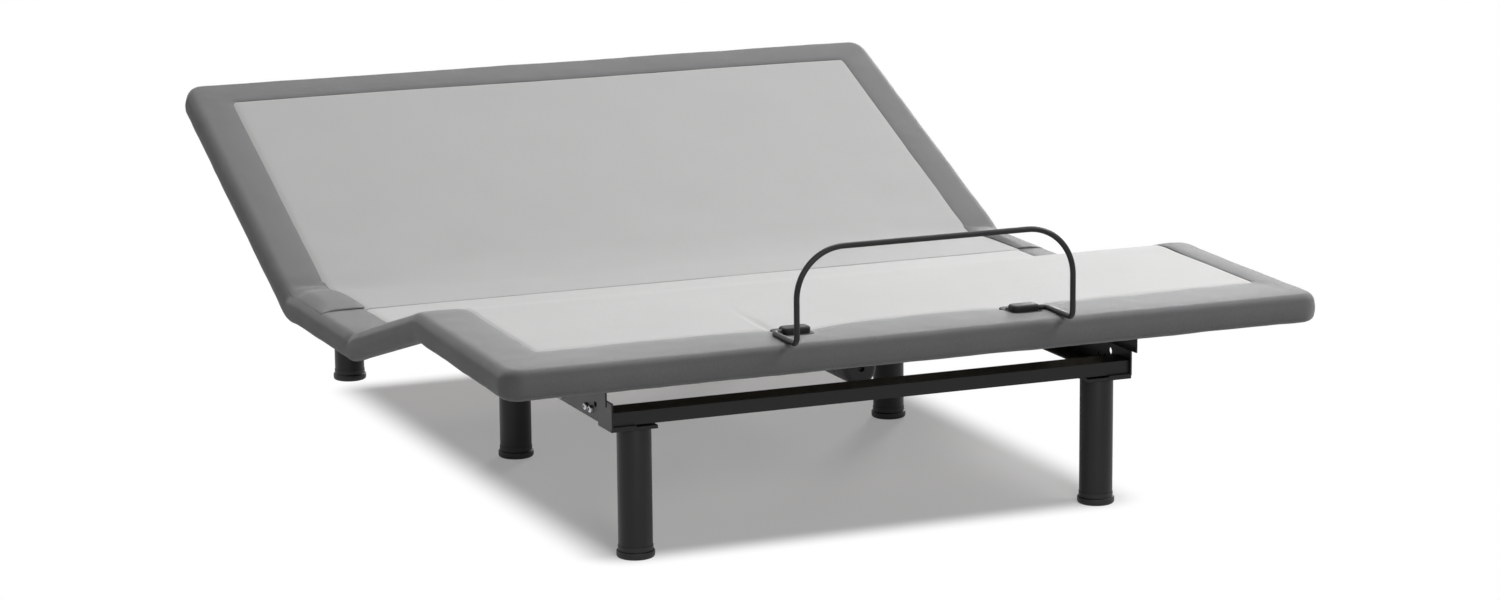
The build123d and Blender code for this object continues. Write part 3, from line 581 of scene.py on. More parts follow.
def parting_line(piece, place, way):
    """A shallow groove round a moulding where its two halves meet."""
    only(piece)
    for shift in (-PARTING, PARTING):
        take_all()
        bpy.ops.mesh.bisect(plane_co=Vector(place) + shift * Vector(way), plane_no=way)
        bpy.ops.object.mode_set(mode="OBJECT")
    pick(piece, "FACE", lambda middle, facing: abs((middle - Vector(place)).dot(Vector(way))) < PARTING / 2)
    bpy.ops.mesh.extrude_region_shrink_fatten(TRANSFORM_OT_shrink_fatten={"value": -PARTING_DEEP})
    bpy.ops.object.mode_set(mode="OBJECT")


def add_screw(place, way):
    """A small domed screw with a slot; way is the side, along X or Z, that its head faces."""
    axis = "X" if way[0] else "Z"
    middle = Vector(place) + Vector(way) * SCREW_HIGH / 2
    screw = add_round("screw", middle, SCREW_RADIUS, SCREW_HIGH, axis, sides=24)
    ease_faces(screw, way, SCREW_ROUND)
    finish_mesh(screw)
    half = Vector((SCREW_SLOT / 2, SLOT_HALF, SCREW_SLOT))
    if axis == "X":
        half = half.zyx
    top = Vector(place) + Vector(way) * SCREW_HIGH
    cut_away(screw, add_block("slot", top - half, top + half))
    return screw


drive_plastic = hard_finish("drive_housing", DRIVE_TONES, DRIVE_GLOSS, DRIVE_CLOUDS, DRIVE_GRAIN)
rod_steel = hard_finish("ground_steel", STEEL_TONES, STEEL_GLOSS, STEEL_RINGS, metallic=1.0,
                        stretch=STEEL_STRETCH)
for name, toward in DRIVES:
    low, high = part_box(name + "_drive_motor")
    middle = (low + high) / 2
    base, nose = (high.y, low.y) if toward > 0 else (low.y, high.y)
    outline = motor_outline(base, nose, (high.x - low.x) / 2)
    motor = turned(name + "_motor_case", outline, middle.x, middle.z)
    fit(motor, drive_plastic, "drive_plastic", "chassis", name + "_drive_motor")

    low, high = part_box(name + "_drive_gearbox")
    gearbox = add_block(name + "_gearbox_case", low, high)
    pick(gearbox, "EDGE", lambda spot, run: abs(run.y) > STRAIGHT)
    ease(GEARBOX_CORNER, 6)
    pick(gearbox, "FACE", lambda spot, facing: abs(facing.y) > STRAIGHT)
    ease(GEARBOX_EASE)
    parting_line(gearbox, ((low.x + high.x) / 2, 0, 0), (1, 0, 0))
    finish_mesh(gearbox)
    screws = []
    for y in (low.y + GEARBOX_SCREW_IN, high.y - GEARBOX_SCREW_IN):
        for z in (low.z + GEARBOX_SCREW_UP, high.z - GEARBOX_SCREW_UP):
            screws.append(add_screw((high.x, y, z), (1, 0, 0)))
            screws.append(add_screw((low.x, y, z), (-1, 0, 0)))
    fit(gearbox, drive_plastic, "drive_plastic", "chassis", name + "_drive_gearbox")
    fit(join_pieces(name + "_gearbox_screws", screws), zinc, "zinc", "chassis")
    dress(rod_steel, name + "_drive_tube", name + "_drive_rod")


# Two moulded cases screwed up under the seat board: the control box and its power supply. Each has a
# lid line, corner screws and round lead sockets on the side that faces the foot end.
CASE_CORNER = 0.008
CASE_EASE = 0.002
CASE_SCREW_IN = 0.012
LID_SHARE = 0.32
CASE_SOCKETS = {"control_box": 4, "power_supply": 1}


def rounded_block(name, low, high, way, corner, rim, corner_steps=6, rim_steps=3):
    """A box with its upright corners rounded, and the rim of the face that looks up or down."""
    piece = add_block(name, low, high)
    pick(piece, "EDGE", lambda middle, run: abs(run.z) > STRAIGHT)
    ease(corner, corner_steps)
    ease_faces(piece, way, rim, rim_steps)
    return piece


for node, sockets in CASE_SOCKETS.items():
    low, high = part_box(node)
    case = rounded_block(node + "_case", low, high, DOWN, CASE_CORNER, CASE_EASE)
    parting_line(case, (0, 0, low.z + LID_SHARE * (high.z - low.z)), (0, 0, 1))
    finish_mesh(case)
    middle_z = (low.z + high.z) / 2
    for place in range(sockets):
        x = low.x + (high.x - low.x) * (place + 1) / (sockets + 1)
        cut_away(case, add_round("mouth", (x, low.y, middle_z), LEAD_SOCKET, 2 * LEAD_DEEP, "Y", sides=32))
    screws = []
    for x in (low.x + CASE_SCREW_IN, high.x - CASE_SCREW_IN):
        for y in (low.y + CASE_SCREW_IN, high.y - CASE_SCREW_IN):
            screws.append(add_screw((x, y, low.z), DOWN))
    fit(case, mould_black, "black_plastic", "chassis", node)
    fit(join_pieces(node + "_screws", screws), zinc, "zinc", "chassis")


# Four deck boards of pale plywood under the padding: straight grain across the bed, with darker late
# wood in long streaks that lie a little lower.
PLY_TONES = ((0.35, 0.295, 0.225), (0.47, 0.41, 0.325))
PLY_SPREAD = (0.36, 0.62)
PLY_GLOSS = (0.55, 0.72)
PLY_STRETCH = (1.2, 26, 26)
PLY_RINGS = (1.6, 5.0, 0.6)
PLY_RAISED = 0.0002
plywood = hard_finish("birch_ply", PLY_TONES, PLY_GLOSS, PLY_RINGS, (*PLY_RINGS, PLY_RAISED), PLY_SPREAD,
                      stretch=PLY_STRETCH)
dress(plywood, "foot_board", "thigh_board", "seat_board", "head_board")


# The upholstery lies over the deck's folds. Each cover is cut flat, in metres across the bed, along
# it from a fold line and up from the deck's top face, and is then bent over that fold into the rest pose.
SEAT_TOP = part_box("seat_centre_panel")[1].z
FOOT_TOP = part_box("foot_centre_panel")[1].z
HALF_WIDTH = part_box("seat_border")[1].x
FOOT_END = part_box("foot_border")[0].y
JOINTS = {joint["name"]: joint for joint in frame["joints"]}
THIGH_TILT = math.radians(JOINTS["thigh_lift"]["range_deg"][0])
HEAD_TILT = -math.radians(JOINTS["head_lift"]["range_deg"][0])
KNEE_REACH = 0.052
THIGH_REACH = 0.034
HEAD_REACH = 0.060
CLOTH_WELD = 0.00002
THREAD_WANDER = 0.6
THREAD_HIGH = 0.00025
YARN = (260, 2.0)
YARN_SHARE = 0.55
CLOUD = (7, 3.0)
CLOUD_SHARE = 0.45
DYE_SPREAD = (0.28, 0.72)
SHEEN_ROUGH = 0.35


def smooth_step(share):
    share = np.clip(share, 0.0, 1.0)
    return share * share * (3 - 2 * share)


class Fold:
    """A fold line across the deck, with the deck's tilt on its foot side and on its head side."""

    def __init__(self, joint, top, before, after, reach):
        _, self.y, self.z = JOINTS[joint]["pos_m"]
        self.depth = top - self.z
        self.before = before
        self.after = after
        self.reach = reach

    def bend(self, across, along, height, reach=None):
        """Rest places of points of the flat cover."""
        reach = reach or self.reach
        tilt = self.before + (self.after - self.before) * smooth_step((along / reach + 1) / 2)
        rise = height + self.depth
        y = self.y + along * np.cos(tilt) - rise * np.sin(tilt)
        z = self.z + along * np.sin(tilt) + rise * np.cos(tilt)
        return np.stack([across + 0 * y, y, z], axis=-1)

    def sweep(self, across, along, height, reach):
        """Rest places of cloth that bridges a hollow fold in one wide curve, down on the deck at reach."""
        share = np.clip((along / reach + 1) / 2, 0, 1)
        corner = -self.depth * math.tan((self.after - self.before) / 2)
        ends = self.bend(np.zeros(3), np.array([-reach, corner, reach]), np.zeros(3), abs(corner) / 2)
        weights = ((1 - share) ** 2, 2 * share * (1 - share), share ** 2)
        curve = sum(weight[:, None] * end for weight, end in zip(weights, ends))
        tilt = self.before + (self.after - self.before) * share
        curve[:, 0] = across
        curve[:, 1] -= height * np.sin(tilt)
        curve[:, 2] += height * np.cos(tilt)
        straight = self.bend(across, along, height, reach)
        return np.where((np.abs(along) < reach)[:, None], curve, straight)

    def blend(self, piece, reach=None):
        """Moves the cover's place into its mesh. The fold's ends at its reach are worked out but not used.
        """
        reach = reach or self.reach
        ends = self.bend(np.zeros(2), np.array([-reach, reach]), np.zeros(2) - self.depth, reach)
        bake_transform(piece)


knee = Fold("knee_fold", FOOT_TOP, 0.0, THIGH_TILT, KNEE_REACH)
lap = Fold("thigh_lift", SEAT_TOP, THIGH_TILT, 0.0, THIGH_REACH)
waist = Fold("head_lift", SEAT_TOP, 0.0, HEAD_TILT, HEAD_REACH)

FOOT_LENGTH = knee.y - FOOT_END
THIGH_LENGTH = 0.400
SEAT_LENGTH = waist.y - lap.y
HEAD_LENGTH = 0.770
THIGH_CUT = 0.200
SEAT_CUT = 0.150
KNEE_CROWN = 0.010


def knee_crown(fold, along):
    """How far the padding swells over the knee, falling away to the foot end and to the seat."""
    if fold is knee:
        return KNEE_CROWN * (1 - np.where(along < 0, -along / FOOT_LENGTH, along / THIGH_LENGTH))
    if fold is lap:
        return KNEE_CROWN * np.clip(-along / THIGH_LENGTH, 0, 1)
    return 0 * along


def lay_cloth(name, columns, rows, shape):
    """A flat grid whose points, 0 to 1 both ways, go where shape sends them; its UV map is in metres."""
    put_down()
    bpy.ops.mesh.primitive_grid_add(x_subdivisions=columns, y_subdivisions=rows, size=1, calc_uvs=True)
    piece = bpy.context.object
    piece.name = name
    flat = np.empty(len(piece.data.vertices) * 3)
    piece.data.vertices.foreach_get("co", flat)
    flat = flat.reshape(-1, 3) + 0.5
    places, threads = shape(flat[:, 0], flat[:, 1])
    piece.data.vertices.foreach_set("co", places.ravel())
    corners = np.empty(len(piece.data.loops), dtype=int)
    piece.data.loops.foreach_get("vertex_index", corners)
    piece.data.uv_layers.active.data.foreach_set("uv", threads[corners].ravel())
    return piece


def close_seams(piece, angle=40):
    """Merges the edges of a cover that meet, caps what is open and finishes the mesh."""
    only(piece)
    take_all()
    bpy.ops.mesh.remove_doubles(threshold=CLOTH_WELD)
    take_all()
    bpy.ops.mesh.fill_holes(sides=0)
    finish_mesh(piece, angle)


def ripple(across, along, height, size, waves, seed):
    """Smooth unevenness of a size at places of the flat cover, with so many waves in a metre."""
    places = zip(across + 0 * along, along, height + 0 * along)
    spots = [noise.noise(Vector((x * waves + seed, y * waves, z * waves))) for x, y, z in places]
    return size * np.array(spots)


def woven_cloth(name, tones, thread, sheen, gloss):
    """Plain-weave upholstery on the cover's own UV map: crossed threads over unevenly dyed yarn."""
    finish, tree, shader = plain_finish(name, gloss)
    shader.inputs["Roughness"].default_value = 1 - gloss
    shader.inputs["Sheen Weight"].default_value = sheen
    shader.inputs["Sheen Roughness"].default_value = SHEEN_ROUGH
    threads = add_node(tree, "TexCoord").outputs["UV"]
    ways = []
    for way in ("X", "Y"):
        wave = add_node(tree, "TexWave", wave_type="BANDS", bands_direction=way, Scale=thread,
                        Distortion=THREAD_WANDER)
        tree.links.new(threads, wave.inputs["Vector"])
        ways.append(wave.outputs["Fac"])
    cloudy = combine(tree, "MULTIPLY", grain(tree, threads, *CLOUD), CLOUD_SHARE)
    dye = combine(tree, "MULTIPLY_ADD", grain(tree, threads, *YARN), YARN_SHARE, cloudy)
    tint(tree, shader, dye, tones, DYE_SPREAD)
    raise_bumps(tree, shader, combine(tree, "MULTIPLY", *ways), THREAD_HIGH)
    return finish


# The dark border: a strip of woven cloth over a soft padded edge, sewn to the pale panel along its
# inside, carried round the face and stapled under the board. It runs unbroken over every fold.
BORDER_TONES = ((0.112, 0.113, 0.115), (0.140, 0.141, 0.144))
BORDER_THREAD = 260
BORDER_SHEEN = 0.5
BORDER_GLOSS = 0.38
BORDER_DEPTH = SEAT_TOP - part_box("seat_border")[0].z
SIDE_SEAM = 0.080
FOOT_SEAM = 0.125
HEAD_SEAM = 0.074
FOOT_WAVER = (0.0016, 11, 0.6)
HEAD_WAVER = (0.0012, 8, 1.1)
FOOT_DRIFT = 0.016
HEAD_DRIFT = 0.003
DRIFT_LEAD = 0.05
DRIFT_RUN = 0.15
SEAM_STEADY = 0.034
SEAM_DIP = 0.0015
SEAM_SHARE = 0.11
SEAM_CORNER = 0.016
CROWN = 0.0012
TOP_ROUND = 0.021
END_ROUND = 0.013
BOTTOM_ROUND = 0.013
FACE_BULGE = 0.0012
EDGE_WALL = 0.0278
TOP_STEPS = 10
ROUND_STEPS = 9
FACE_STEPS = 5
BOTTOM_STEPS = 6
PAD_THICKNESS = 0.006
STAPLE_IN = 0.021
STAPLE_UP = 0.001
CORNER_ROUND = 0.036
PAD_SWELL = (0.0011, 9, 3.0)
PAD_RIPPLE = (0.0005, 31, 8.0)
WAIST_PINCH = 0.002
LAP_PINCH = 0.003
PINCH_RUN = 0.011
PINCH_DROP = 0.4 * TOP_ROUND
PINCH_TALL = 0.012
PINCH_INSET = 0.03
ROW = 0.008
END_SHARE = 0.4
CORNER_SHARE = 0.1
CORNER_ROWS = 12
BRACKET_WIDTH = 0.062
BRACKET_X = [side * (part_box("retainer_brackets")[1].x - BRACKET_WIDTH / 2) for side in (-1, 1)]
SEAM_PULL = 0.034
PULL_POWER = 1.6
SEAM_PULLS = ((BRACKET_X[0], 0.026, 0.085), (BRACKET_X[1], 0.036, 0.032))


def edge_section(top_round):
    """Inset and height round the padded edge: seam, top, outer round, face, lower round, inner wall."""
    share = np.linspace(0, 1, TOP_STEPS)
    top_in = SIDE_SEAM - share * (SIDE_SEAM - top_round)
    top_up = CROWN * np.sin(math.pi * share) - SEAM_DIP * (1 - smooth_step(share / SEAM_SHARE))
    turn = np.linspace(0, math.pi / 2, ROUND_STEPS)[1:]
    round_in = top_round * (1 - np.sin(turn))
    round_up = top_round * (np.cos(turn) - 1)
    drop = np.linspace(0, 1, FACE_STEPS)[1:]
    face_in = -FACE_BULGE * np.sin(math.pi * drop)
    face_up = -top_round - drop * (BORDER_DEPTH - top_round - BOTTOM_ROUND)
    turn = np.linspace(0, math.pi / 2, BOTTOM_STEPS)[1:]
    low_in = BOTTOM_ROUND * (1 - np.cos(turn))
    low_up = -BORDER_DEPTH + BOTTOM_ROUND * (1 - np.sin(turn))
    wall_in = [STAPLE_IN, *[EDGE_WALL] * 3, 0.5 * (EDGE_WALL + SIDE_SEAM), *[SIDE_SEAM] * 2]
    wall_up = [-BORDER_DEPTH, STAPLE_UP - BORDER_DEPTH, -0.5 * BORDER_DEPTH, *[-PAD_THICKNESS] * 3,
               -SEAM_DIP]
    inset = np.concatenate([top_in, round_in, face_in, low_in, wall_in])
    height = np.concatenate([top_up, round_up, face_up, low_up, wall_up])
    shown = len(inset) - len(wall_in)
    return inset, height, shown


SECTION_IN, SECTION_UP, SECTION_SHOWN = edge_section(TOP_ROUND)
END_IN, END_UP, _ = edge_section(END_ROUND)
SECTION_STEP = np.hypot(np.diff(SECTION_IN), np.diff(SECTION_UP))
SECTION_RUN = np.concatenate([[0], np.cumsum(SECTION_STEP)])
OUT_IN = np.gradient(SECTION_UP)
OUT_UP = -np.gradient(SECTION_IN)
OUT_SIZE = np.maximum(np.hypot(OUT_IN, OUT_UP), 1e-9)
SOFT = np.where(np.arange(len(SECTION_IN)) < SECTION_SHOWN, 1.0, 0.0)


def section_at(column, on_end):
    """The section's inset and height, from the soft one of the sides to the crisp one of the ends."""
    inset = SECTION_IN[column] + on_end * (END_IN[column] - SECTION_IN[column])
    height = SECTION_UP[column] + on_end * (END_UP[column] - SECTION_UP[column])
    return inset, height


def waver(across, size, waves, start):
    """The slight wander of a seam, with so many radians of its wave in a metre."""
    return size * np.sin(across * waves + start)


def front_seam(across):
    """How far the foot seam lies from the front: it is drawn forward beside each retainer bracket."""
    pull = 0 * across
    for centre, left, right in SEAM_PULLS:
        gap = across - centre
        width = np.where(gap > 0, right, left)
        pull = np.maximum(pull, np.exp(-np.abs(gap / width) ** PULL_POWER))
    return FOOT_SEAM - SEAM_PULL * pull + waver(across, *FOOT_WAVER)


def head_seam(across):
    return HEAD_SEAM + waver(across, *HEAD_WAVER)


def wrap_rows(end_rows, side_rows):
    """Shares along a border that goes up one side, across an end and down the other, from -1 to 1."""
    corner = END_SHARE + CORNER_SHARE
    half = np.concatenate([np.linspace(0, END_SHARE, end_rows // 2 + 1)[1:],
                           np.linspace(END_SHARE, corner, CORNER_ROWS + 1)[1:],
                           np.linspace(corner, 1, side_rows + 1)[1:]])
    return np.concatenate([-half[::-1], [0.0], half])


def past_steady(inset):
    """0 on the outer part of the border, growing to 1 at its seam."""
    return np.maximum(inset - SEAM_STEADY, 0) / (SIDE_SEAM - SEAM_STEADY)


def wrap_places(share, inset, seam, reach, drift):
    """Across, and distance in from the end, of points of a wrapped border."""
    size = np.abs(share)
    on_end = np.clip(size / END_SHARE, 0, 1)
    on_corner = np.clip((size - END_SHARE) / CORNER_SHARE, 0, 1) * math.pi / 2
    on_side = np.clip((size - END_SHARE - CORNER_SHARE) / (1 - END_SHARE - CORNER_SHARE), 0, 1)
    edge = HALF_WIDTH - inset
    radius = np.maximum(CORNER_ROUND - inset, SEAM_CORNER)
    stretch = past_steady(inset)
    across = np.sign(share) * ((edge - radius) * on_end + radius * np.sin(on_corner))
    across = across + stretch * drift(reach * on_side)
    end_in = inset + stretch * (seam(across) - SIDE_SEAM)
    inward = end_in + radius * (1 - np.cos(on_corner)) + (reach - end_in - radius) * on_side
    length = HALF_WIDTH * on_end + CORNER_ROUND * on_corner + reach * on_side
    return across, inward, np.sign(share) * length


def pad_out(column, on_end, across, along, station, pinch):
    """Inset and height of border points, with the padding's unevenness and a pinch at a hollow fold."""
    inset, height = section_at(column, on_end)
    amount = ripple(across, along + station, height, *PAD_SWELL)
    amount += ripple(across, along + station, height, *PAD_RIPPLE)
    on_round = np.exp(-((height + PINCH_DROP) / PINCH_TALL) ** 2) * (inset < PINCH_INSET)
    amount -= pinch * np.exp(-(along / PINCH_RUN) ** 2) * on_round
    amount *= SOFT[column]
    inset = inset + amount * OUT_IN[column] / OUT_SIZE[column]
    height = height + amount * OUT_UP[column] / OUT_SIZE[column]
    return inset, height


COLUMNS = len(SECTION_IN) - 1
border_cloth = woven_cloth("border_cloth", BORDER_TONES, BORDER_THREAD, BORDER_SHEEN, BORDER_GLOSS)


def end_border(name, fold, length, cut, seam, toward, pinch, drift):
    """A border round one end of the deck, to the cut beyond its fold. toward is 1 away from the foot."""
    reach = length + cut
    shares = wrap_rows(round(2 * HALF_WIDTH / ROW / 2) * 2, round(reach / ROW))
    rows = len(shares) - 1

    def shape(u, v):
        column = np.rint(u * COLUMNS).astype(int) % COLUMNS
        share = shares[np.rint(v * rows).astype(int)]
        on_end = 1 - smooth_step((np.abs(share) - END_SHARE) / CORNER_SHARE)
        across, inward, run = wrap_places(share, section_at(column, on_end)[0], seam, reach, drift)
        along = toward * (inward - length)
        inset, height = pad_out(column, on_end, across, along, fold.y, pinch)
        across, inward, run = wrap_places(share, inset, seam, reach, drift)
        along = toward * (inward - length)
        height = height + knee_crown(fold, along)
        return fold.bend(across, along, height), np.stack([SECTION_RUN[column], run], axis=-1)

    return lay_cloth(name, COLUMNS, rows, shape)


def side_border(name, side, fold, start, stop, pinch):
    """A straight run of border along one side, over the fold between the thighs and the seat."""
    rows = round((stop - start) / ROW)

    def shape(u, v):
        column = np.rint(u * COLUMNS).astype(int) % COLUMNS
        along = start + v * (stop - start)
        across = side * (HALF_WIDTH - SECTION_IN[column])
        inset, height = pad_out(column, 0 * along, across, along, fold.y, pinch)
        across = side * (HALF_WIDTH - inset) + past_steady(inset) * FOOT_DRIFT
        height = height + knee_crown(fold, along)
        return fold.bend(across, along, height), np.stack([SECTION_RUN[column], along], axis=-1)

    return lay_cloth(name, COLUMNS, rows, shape)


def foot_drift(inward):
    return FOOT_DRIFT + 0 * inward


def head_drift(inward):
    """The pale panel sits a little to the right on the head, and more so below the waist."""
    below = smooth_step((inward - HEAD_LENGTH + DRIFT_LEAD) / DRIFT_RUN)
    return HEAD_DRIFT + (FOOT_DRIFT - HEAD_DRIFT) * below


foot_edge = end_border("foot_border_cover", knee, FOOT_LENGTH, THIGH_CUT, front_seam, 1, 0.0, foot_drift)
head_edge = end_border("head_border_cover", waist, HEAD_LENGTH, SEAT_CUT, head_seam, -1, WAIST_PINCH,
                       head_drift)
side_edges = [side_border(name, side, lap, THIGH_CUT - THIGH_LENGTH, SEAT_LENGTH - SEAT_CUT, LAP_PINCH)
              for name, side in (("left_border_cover", -1), ("right_border_cover", 1))]
for edge in (foot_edge, head_edge, *side_edges):
    close_seams(edge)
    edge.data.materials.append(border_cloth)
knee.blend(foot_edge)
waist.blend(head_edge)
for edge in side_edges:
    lap.blend(edge)
    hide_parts("seat_border", "thigh_border")
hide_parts("foot_border", "thigh_border")
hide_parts("head_border", "seat_border")


# The pale centre: a thin quilt of light woven cloth over foam, let in between the borders. One piece
# covers the foot and thighs, one the thighs and seat, and the head's runs down over the seat as a flap.
# The head's piece takes a darker copy of the cloth, which is painted shade for the tilted head and
# darkens its flap on the seat as well.
PANEL_TONES = ((0.572, 0.570, 0.566), (0.610, 0.608, 0.604))
# A darker copy of the pale tones for the head's cover: painted shade.
SHADED_HEAD_TONES = ((0.482, 0.480, 0.477), (0.515, 0.513, 0.510))
PANEL_THREAD = 330
PANEL_SHEEN = 0.10
PANEL_GLOSS = 0.2
PANEL_THICKNESS = 0.0045
PANEL_TUCK = 0.004
PANEL_ROLL = 0.011
PANEL_SINK = 0.0036
PANEL_LOW = 0.0004
PANEL_SWELL = (0.0009, 5, 1.0)
PANEL_CELL = 0.010
CREASED_CELL = 0.0052
CREASE_IN = 0.002
CREASE_X = BRACKET_X[0] - BRACKET_WIDTH / 2 + CREASE_IN
CREASE_END = 0.21
CREASE_DEEP = 0.0026
CREASE_WIDE = 0.0055
FLAP_LENGTH = 0.205
FLAP_RISE = 0.0024
RISE_START = -0.02
RISE_RUN = 0.12
FLAP_HEM = 0.0012
HEM_RUN = 0.012
FLAP_SLACK = (0.0030, 8, 5.0)
SLACK_WIDEN = 0.5
SLACK_START = 0.02
SLACK_RUN = 0.15
SLACK_END = 0.50
SLACK_FADE = 0.4
FLAP_REACH = 0.080
FLAP_BEND = 0.050
BRIDGE_START = 0.22
UNDER_FLAP = 0.085
panel_cloth = woven_cloth("panel_cloth", PANEL_TONES, PANEL_THREAD, PANEL_SHEEN, PANEL_GLOSS)
# The head's cloth is the pale cloth in its darker tones: painted shade.
head_cloth = woven_cloth("head_cloth", SHADED_HEAD_TONES, PANEL_THREAD, PANEL_SHEEN, PANEL_GLOSS)


def panel_cover(name, cell, place, drift, start, stop, lift, open_start, open_stop):
    """A pale cover between two lines across the deck; lift gives its height before its edges roll under."""
    half = HALF_WIDTH - SIDE_SEAM + PANEL_TUCK
    columns = round(2 * half / cell)
    rows = round((stop(np.zeros(1))[0] - start(np.zeros(1))[0]) / cell)

    def shape(u, v):
        across = (2 * u - 1) * half
        first = start(across)
        last = stop(across)
        along = first + v * (last - first)
        margin = half - np.abs(across)
        if not open_start:
            margin = np.minimum(margin, along - first)
        if not open_stop:
            margin = np.minimum(margin, last - along)
        height = lift(across, along) - PANEL_SINK * (1 - smooth_step(margin / PANEL_ROLL))
        return place(across + drift(along), along, height), np.stack([across, along], axis=-1)

    return lay_cloth(name, columns, rows, shape)


def foot_lift(across, along):
    """Level but for the padding's unevenness and one crease that runs back from the left bracket."""
    swell = ripple(across, along - THIGH_CUT, 0 * along, *PANEL_SWELL)
    from_front = along + FOOT_LENGTH - FOOT_SEAM
    fade = smooth_step((CREASE_END - from_front) / CREASE_END)
    crease = CREASE_DEEP * np.exp(-((across + FOOT_DRIFT - CREASE_X) / CREASE_WIDE) ** 2) * fade
    return -PANEL_LOW + swell - crease + knee_crown(knee, along)


def lap_lift(across, along):
    swell = ripple(across, along + THIGH_LENGTH - THIGH_CUT, 0 * along, *PANEL_SWELL)
    return -PANEL_LOW + swell + knee_crown(lap, along)


def head_lift(across, along):
    """The flap lies on the seat, and the slack it is given shows as faint ripples low on the head."""
    rise = FLAP_RISE * (1 - smooth_step((along - RISE_START) / RISE_RUN))
    rise -= FLAP_HEM * (1 - smooth_step((along + FLAP_LENGTH) / HEM_RUN))
    slack = ripple(SLACK_WIDEN * across, along, 0 * along, *FLAP_SLACK)
    slack *= smooth_step((SLACK_END - along) / SLACK_FADE) * smooth_step((along - SLACK_START) / SLACK_RUN)
    return -PANEL_LOW + rise + slack


def bridge_waist(across, along, height):
    """Tight in the fold beside the borders, and bridging it everywhere else."""
    from_seam = HALF_WIDTH - SIDE_SEAM - np.abs(across - head_drift(HEAD_LENGTH - along))
    inside = smooth_step(from_seam / BRIDGE_START)[:, None]
    tight = waist.bend(across, along, height)
    return tight + inside * (waist.sweep(across, along, height, FLAP_REACH) - tight)


def straight(place):
    """A line straight across the deck."""
    return lambda across: 0 * across + place


foot_panel = panel_cover("foot_panel_cover", CREASED_CELL, knee.bend, foot_drift,
                         lambda across: front_seam(across + FOOT_DRIFT) - FOOT_LENGTH - PANEL_TUCK,
                         straight(THIGH_CUT), foot_lift, False, True)
lap_panel = panel_cover("seat_panel_cover", PANEL_CELL, lap.bend, foot_drift,
                        straight(THIGH_CUT - THIGH_LENGTH), straight(SEAT_LENGTH - UNDER_FLAP),
                        lap_lift, True, True)
head_panel = panel_cover("head_panel_cover", PANEL_CELL, bridge_waist,
                         lambda along: head_drift(HEAD_LENGTH - along), straight(-FLAP_LENGTH),
                         lambda across: HEAD_LENGTH - head_seam(across) + PANEL_TUCK, head_lift, True, False)
for panel, cloth in ((foot_panel, panel_cloth), (lap_panel, panel_cloth), (head_panel, head_cloth)):
    only(panel)
    apply_modifier(panel, "SOLIDIFY", thickness=PANEL_THICKNESS, offset=-1)
    close_seams(panel)
    panel.data.materials.append(cloth)
knee.blend(foot_panel)
lap.blend(lap_panel)
waist.blend(head_panel, FLAP_BEND)
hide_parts("foot_centre_panel", "thigh_centre_panel")
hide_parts("thigh_centre_panel", "seat_centre_panel")
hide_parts("head_centre_panel", "head_fold_flap")


# The flap's dark ends: two padded tabs sewn on below the head's borders. Each arches up out of the
# fold and lies loose on the seat's border, with a rounded inner corner at its free edge.
TAB_OUTER = 0.009
TAB_INNER = 0.084
TAB_START = -FLAP_LENGTH
TAB_END = 0.034
TAB_ARCH = 0.0070
ARCH_POWER = 0.8
TAB_RISE = 0.0044
TAB_HEM = 0.0006
TAB_THICKNESS = 0.0032
TAB_CORNER = 0.020
TAB_SEWN = 0.035
TAB_OUTER_FADE = 0.034
TAB_INNER_FADE = 0.024
TAB_OVER = 0.006
TAB_COLUMNS = 16
TAB_ROWS = 44


def tab_cover(name, side):
    width = TAB_INNER - TAB_OUTER
    length = TAB_END - TAB_START

    def shape(u, v):
        inset = TAB_OUTER + u * width
        along = TAB_START + v * length
        from_corner = np.clip((inset - TAB_INNER + TAB_CORNER) / TAB_CORNER, 0, 1)
        from_edge = np.clip((TAB_START + TAB_CORNER - along) / TAB_CORNER, 0, 1)
        round_in = from_corner * np.sqrt(1 - from_edge ** 2 / 2)
        round_back = from_edge * np.sqrt(1 - from_corner ** 2 / 2)
        inset = inset + (round_in - from_corner) * TAB_CORNER
        along = along - (round_back - from_edge) * TAB_CORNER
        over = np.clip(TOP_ROUND - inset, 0, TOP_ROUND)
        fall = TOP_ROUND - np.sqrt(TOP_ROUND ** 2 - over ** 2)
        arch = TAB_ARCH * np.sin(math.pi * np.clip(v, 0, 1)) ** ARCH_POWER
        loose = smooth_step((TAB_END - along) / TAB_SEWN) * smooth_step((inset - TAB_OUTER) / TAB_OUTER_FADE)
        loose *= smooth_step((TAB_INNER + TAB_OVER - inset) / TAB_INNER_FADE)
        height = TAB_HEM + (TAB_RISE - TAB_HEM + arch) * loose - fall
        across = side * (HALF_WIDTH - inset) + past_steady(inset) * head_drift(HEAD_LENGTH - along)
        return waist.bend(across, along, height), np.stack([inset, along], axis=-1)

    return lay_cloth(name, TAB_COLUMNS, TAB_ROWS, shape)


for name, side in (("left_flap_tab", -1), ("right_flap_tab", 1)):
    tab = tab_cover(name, side)
    if side > 0:
        take_all()
        bpy.ops.mesh.flip_normals()
        bpy.ops.object.mode_set(mode="OBJECT")
    apply_modifier(tab, "SOLIDIFY", thickness=TAB_THICKNESS, offset=-1)
    apply_modifier(tab, "SUBSURF", levels=1, render_levels=1)
    close_seams(tab, angle=60)
    tab.data.materials.append(border_cloth)
    waist.blend(tab)
    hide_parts("head_fold_flap")


